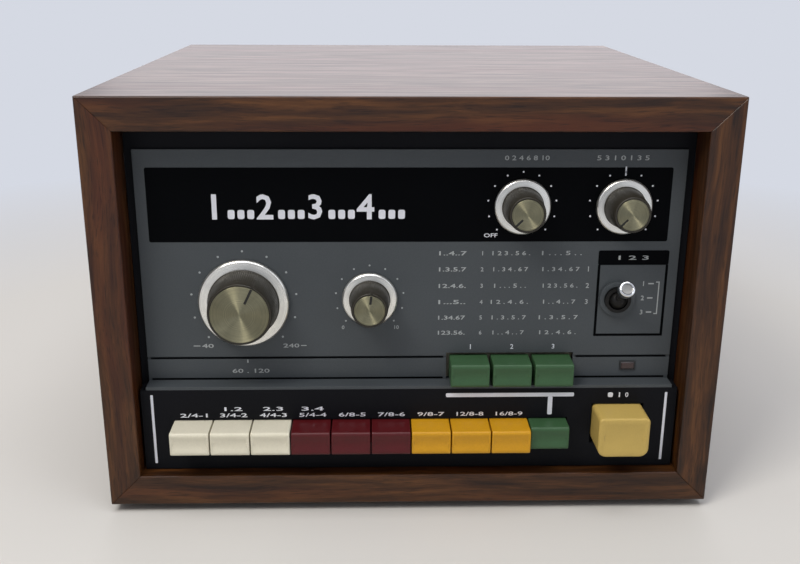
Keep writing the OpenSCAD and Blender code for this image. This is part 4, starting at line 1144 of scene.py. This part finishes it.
class DRUM_OT_stage(bpy.types.Operator):
    """Set the pale floor, the soft studio light and the camera at the photograph's angle"""

    bl_idname = "drum.stage"
    bl_label = "Stage"

    def execute(self, context):
        stage = context.scene.drum_stage
        rest()
        bpy.ops.mesh.primitive_plane_add(size=8, location=(0, 0, FLOOR_Z))
        floor = named("floor")
        # painted board: pale, nearly even and matt
        material, tree, shader, place = start("painted_desk", {"Roughness": 0.6, "Specular IOR Level": 0.3})
        cloud = noise(tree, place, 300, 3.0).outputs[0]
        wire(tree, shader, {
            "Base Color": blend(tree, cloud, shade(stage.floor, 0.97), shade(stage.floor, 1.03)),
        })
        # from a third of a metre away the desk fades into the backdrop's colour, as if paper lay on it
        away = add(tree, "VectorMath", {0: place}, operation="LENGTH")
        fade = remap(tree, away.outputs["Value"], 0.34, 0.75, 0.0, 1.0)
        amount = add(tree, "Math", {0: fade, 1: self.seen(tree)}, operation="MULTIPLY")
        paper = add(tree, "Emission", {"Color": list(stage.back), "Strength": 1.0})
        mixed = add(tree, "MixShader", {0: amount.outputs[0], 1: shader.outputs[0], 2: paper.outputs[0]})
        tree.links.new(mixed.outputs[0], tree.nodes["Material Output"].inputs["Surface"])
        floor.data.materials.append(material)
        self.world(context, stage)
        for name, (place, side, share, code) in LAMPS.items():
            self.soft_box(name, place, side, stage.key_power * share, code)
        self.camera(context, stage)
        context.scene.view_settings.view_transform = "Standard"
        return {"FINISHED"}

    def seen(self, tree):
        """1 where the camera, gloss or glass looks, 0 for the light itself"""
        path = add(tree, "LightPath").outputs
        amount = path["Is Camera Ray"]
        for kind in ("Is Glossy Ray", "Is Transmission Ray"):
            amount = add(tree, "Math", {0: amount, 1: path[kind]}, operation="MAXIMUM").outputs[0]
        return amount

    def world(self, context, stage):
        """Room light; the camera, gloss and glass see the backdrop's colour"""
        world = bpy.data.worlds.new("room")
        context.scene.world = world
        world.use_nodes = True
        tree = world.node_tree
        tree.nodes.clear()
        light = add(tree, "Background", {"Color": linear("#f3f4f7"), "Strength": 0.26})
        back = add(tree, "Background", {"Color": list(stage.back), "Strength": 1.0})
        mixed = add(tree, "MixShader", {0: self.seen(tree), 1: light.outputs[0], 2: back.outputs[0]})
        add(tree, "OutputWorld", {"Surface": mixed.outputs[0]})

    def soft_box(self, name, place, size, power, code):
        rest()
        bpy.ops.object.light_add(type="AREA", location=place)
        lamp = bpy.context.active_object
        lamp.name = name
        lamp.data.shape = "SQUARE"
        lamp.data.size = size
        lamp.data.energy = power
        lamp.data.color = linear(code)[:3]
        lamp.rotation_euler = (Vector(LAMP_AIM) - Vector(place)).to_track_quat("-Z", "Y").to_euler()

    def camera(self, context, stage):
        rest()
        bpy.ops.object.camera_add()
        camera = bpy.context.active_object
        camera.name = "camera"
        pitch, yaw, roll = (math.radians(angle) for angle in CAMERA_ANGLES)
        ahead = Vector((-math.sin(yaw) * math.cos(pitch), math.cos(yaw) * math.cos(pitch), -math.sin(pitch)))
        right = Vector((math.cos(yaw), math.sin(yaw), 0))
        up = right.cross(ahead)
        turned_right = right * math.cos(roll) + up * math.sin(roll)
        turned_up = up * math.cos(roll) - right * math.sin(roll)
        axes = Matrix((turned_right, turned_up, -ahead)).transposed().to_4x4()
        camera.matrix_world = Matrix.Translation(mm(*CAMERA_PLACE)) @ axes
        camera.data.sensor_width = 36
        camera.data.lens = stage.focal
        camera.data.clip_start = 0.01
        camera.data.clip_end = 50
        context.scene.camera = camera


OPERATORS = (
    DRUM_OT_materials,
    DRUM_OT_cabinet,
    DRUM_OT_panels,
    DRUM_OT_print,
    DRUM_OT_knobs,
    DRUM_OT_toggle,
    DRUM_OT_keys,
    DRUM_OT_rear,
    DRUM_OT_stage,
)


class DRUM_PT_panel(bpy.types.Panel):
    """Sizes, colours and the making of each piece"""

    bl_idname = "DRUM_PT_panel"
    bl_label = "Drum machine"
    bl_space_type = "VIEW_3D"
    bl_region_type = "UI"
    bl_category = "Drum machine"

    def draw(self, context):
        for kind in OPERATORS:
            self.layout.operator(kind.bl_idname)
        for name, group in SETTINGS.items():
            box = self.layout.box()
            for key in group.__annotations__:
                box.prop(getattr(context.scene, name), key)


def register():
    for group in SETTINGS.values():
        bpy.utils.register_class(group)
    for name, group in SETTINGS.items():
        setattr(bpy.types.Scene, name, bpy.props.PointerProperty(type=group))
    for kind in OPERATORS:
        bpy.utils.register_class(kind)
    bpy.utils.register_class(DRUM_PT_panel)


def unregister():
    bpy.utils.unregister_class(DRUM_PT_panel)
    for kind in reversed(OPERATORS):
        bpy.utils.unregister_class(kind)
    for name, group in SETTINGS.items():
        delattr(bpy.types.Scene, name)
        bpy.utils.unregister_class(group)


def main():
    register()
    bpy.ops.drum.materials()
    bpy.ops.drum.cabinet()
    bpy.ops.drum.panels()
    bpy.ops.drum.print()
    bpy.ops.drum.knobs()
    bpy.ops.drum.toggle()
    bpy.ops.drum.keys()
    bpy.ops.drum.rear()
    bpy.ops.drum.stage()
    rest()


if __name__ == "__main__":
    main()
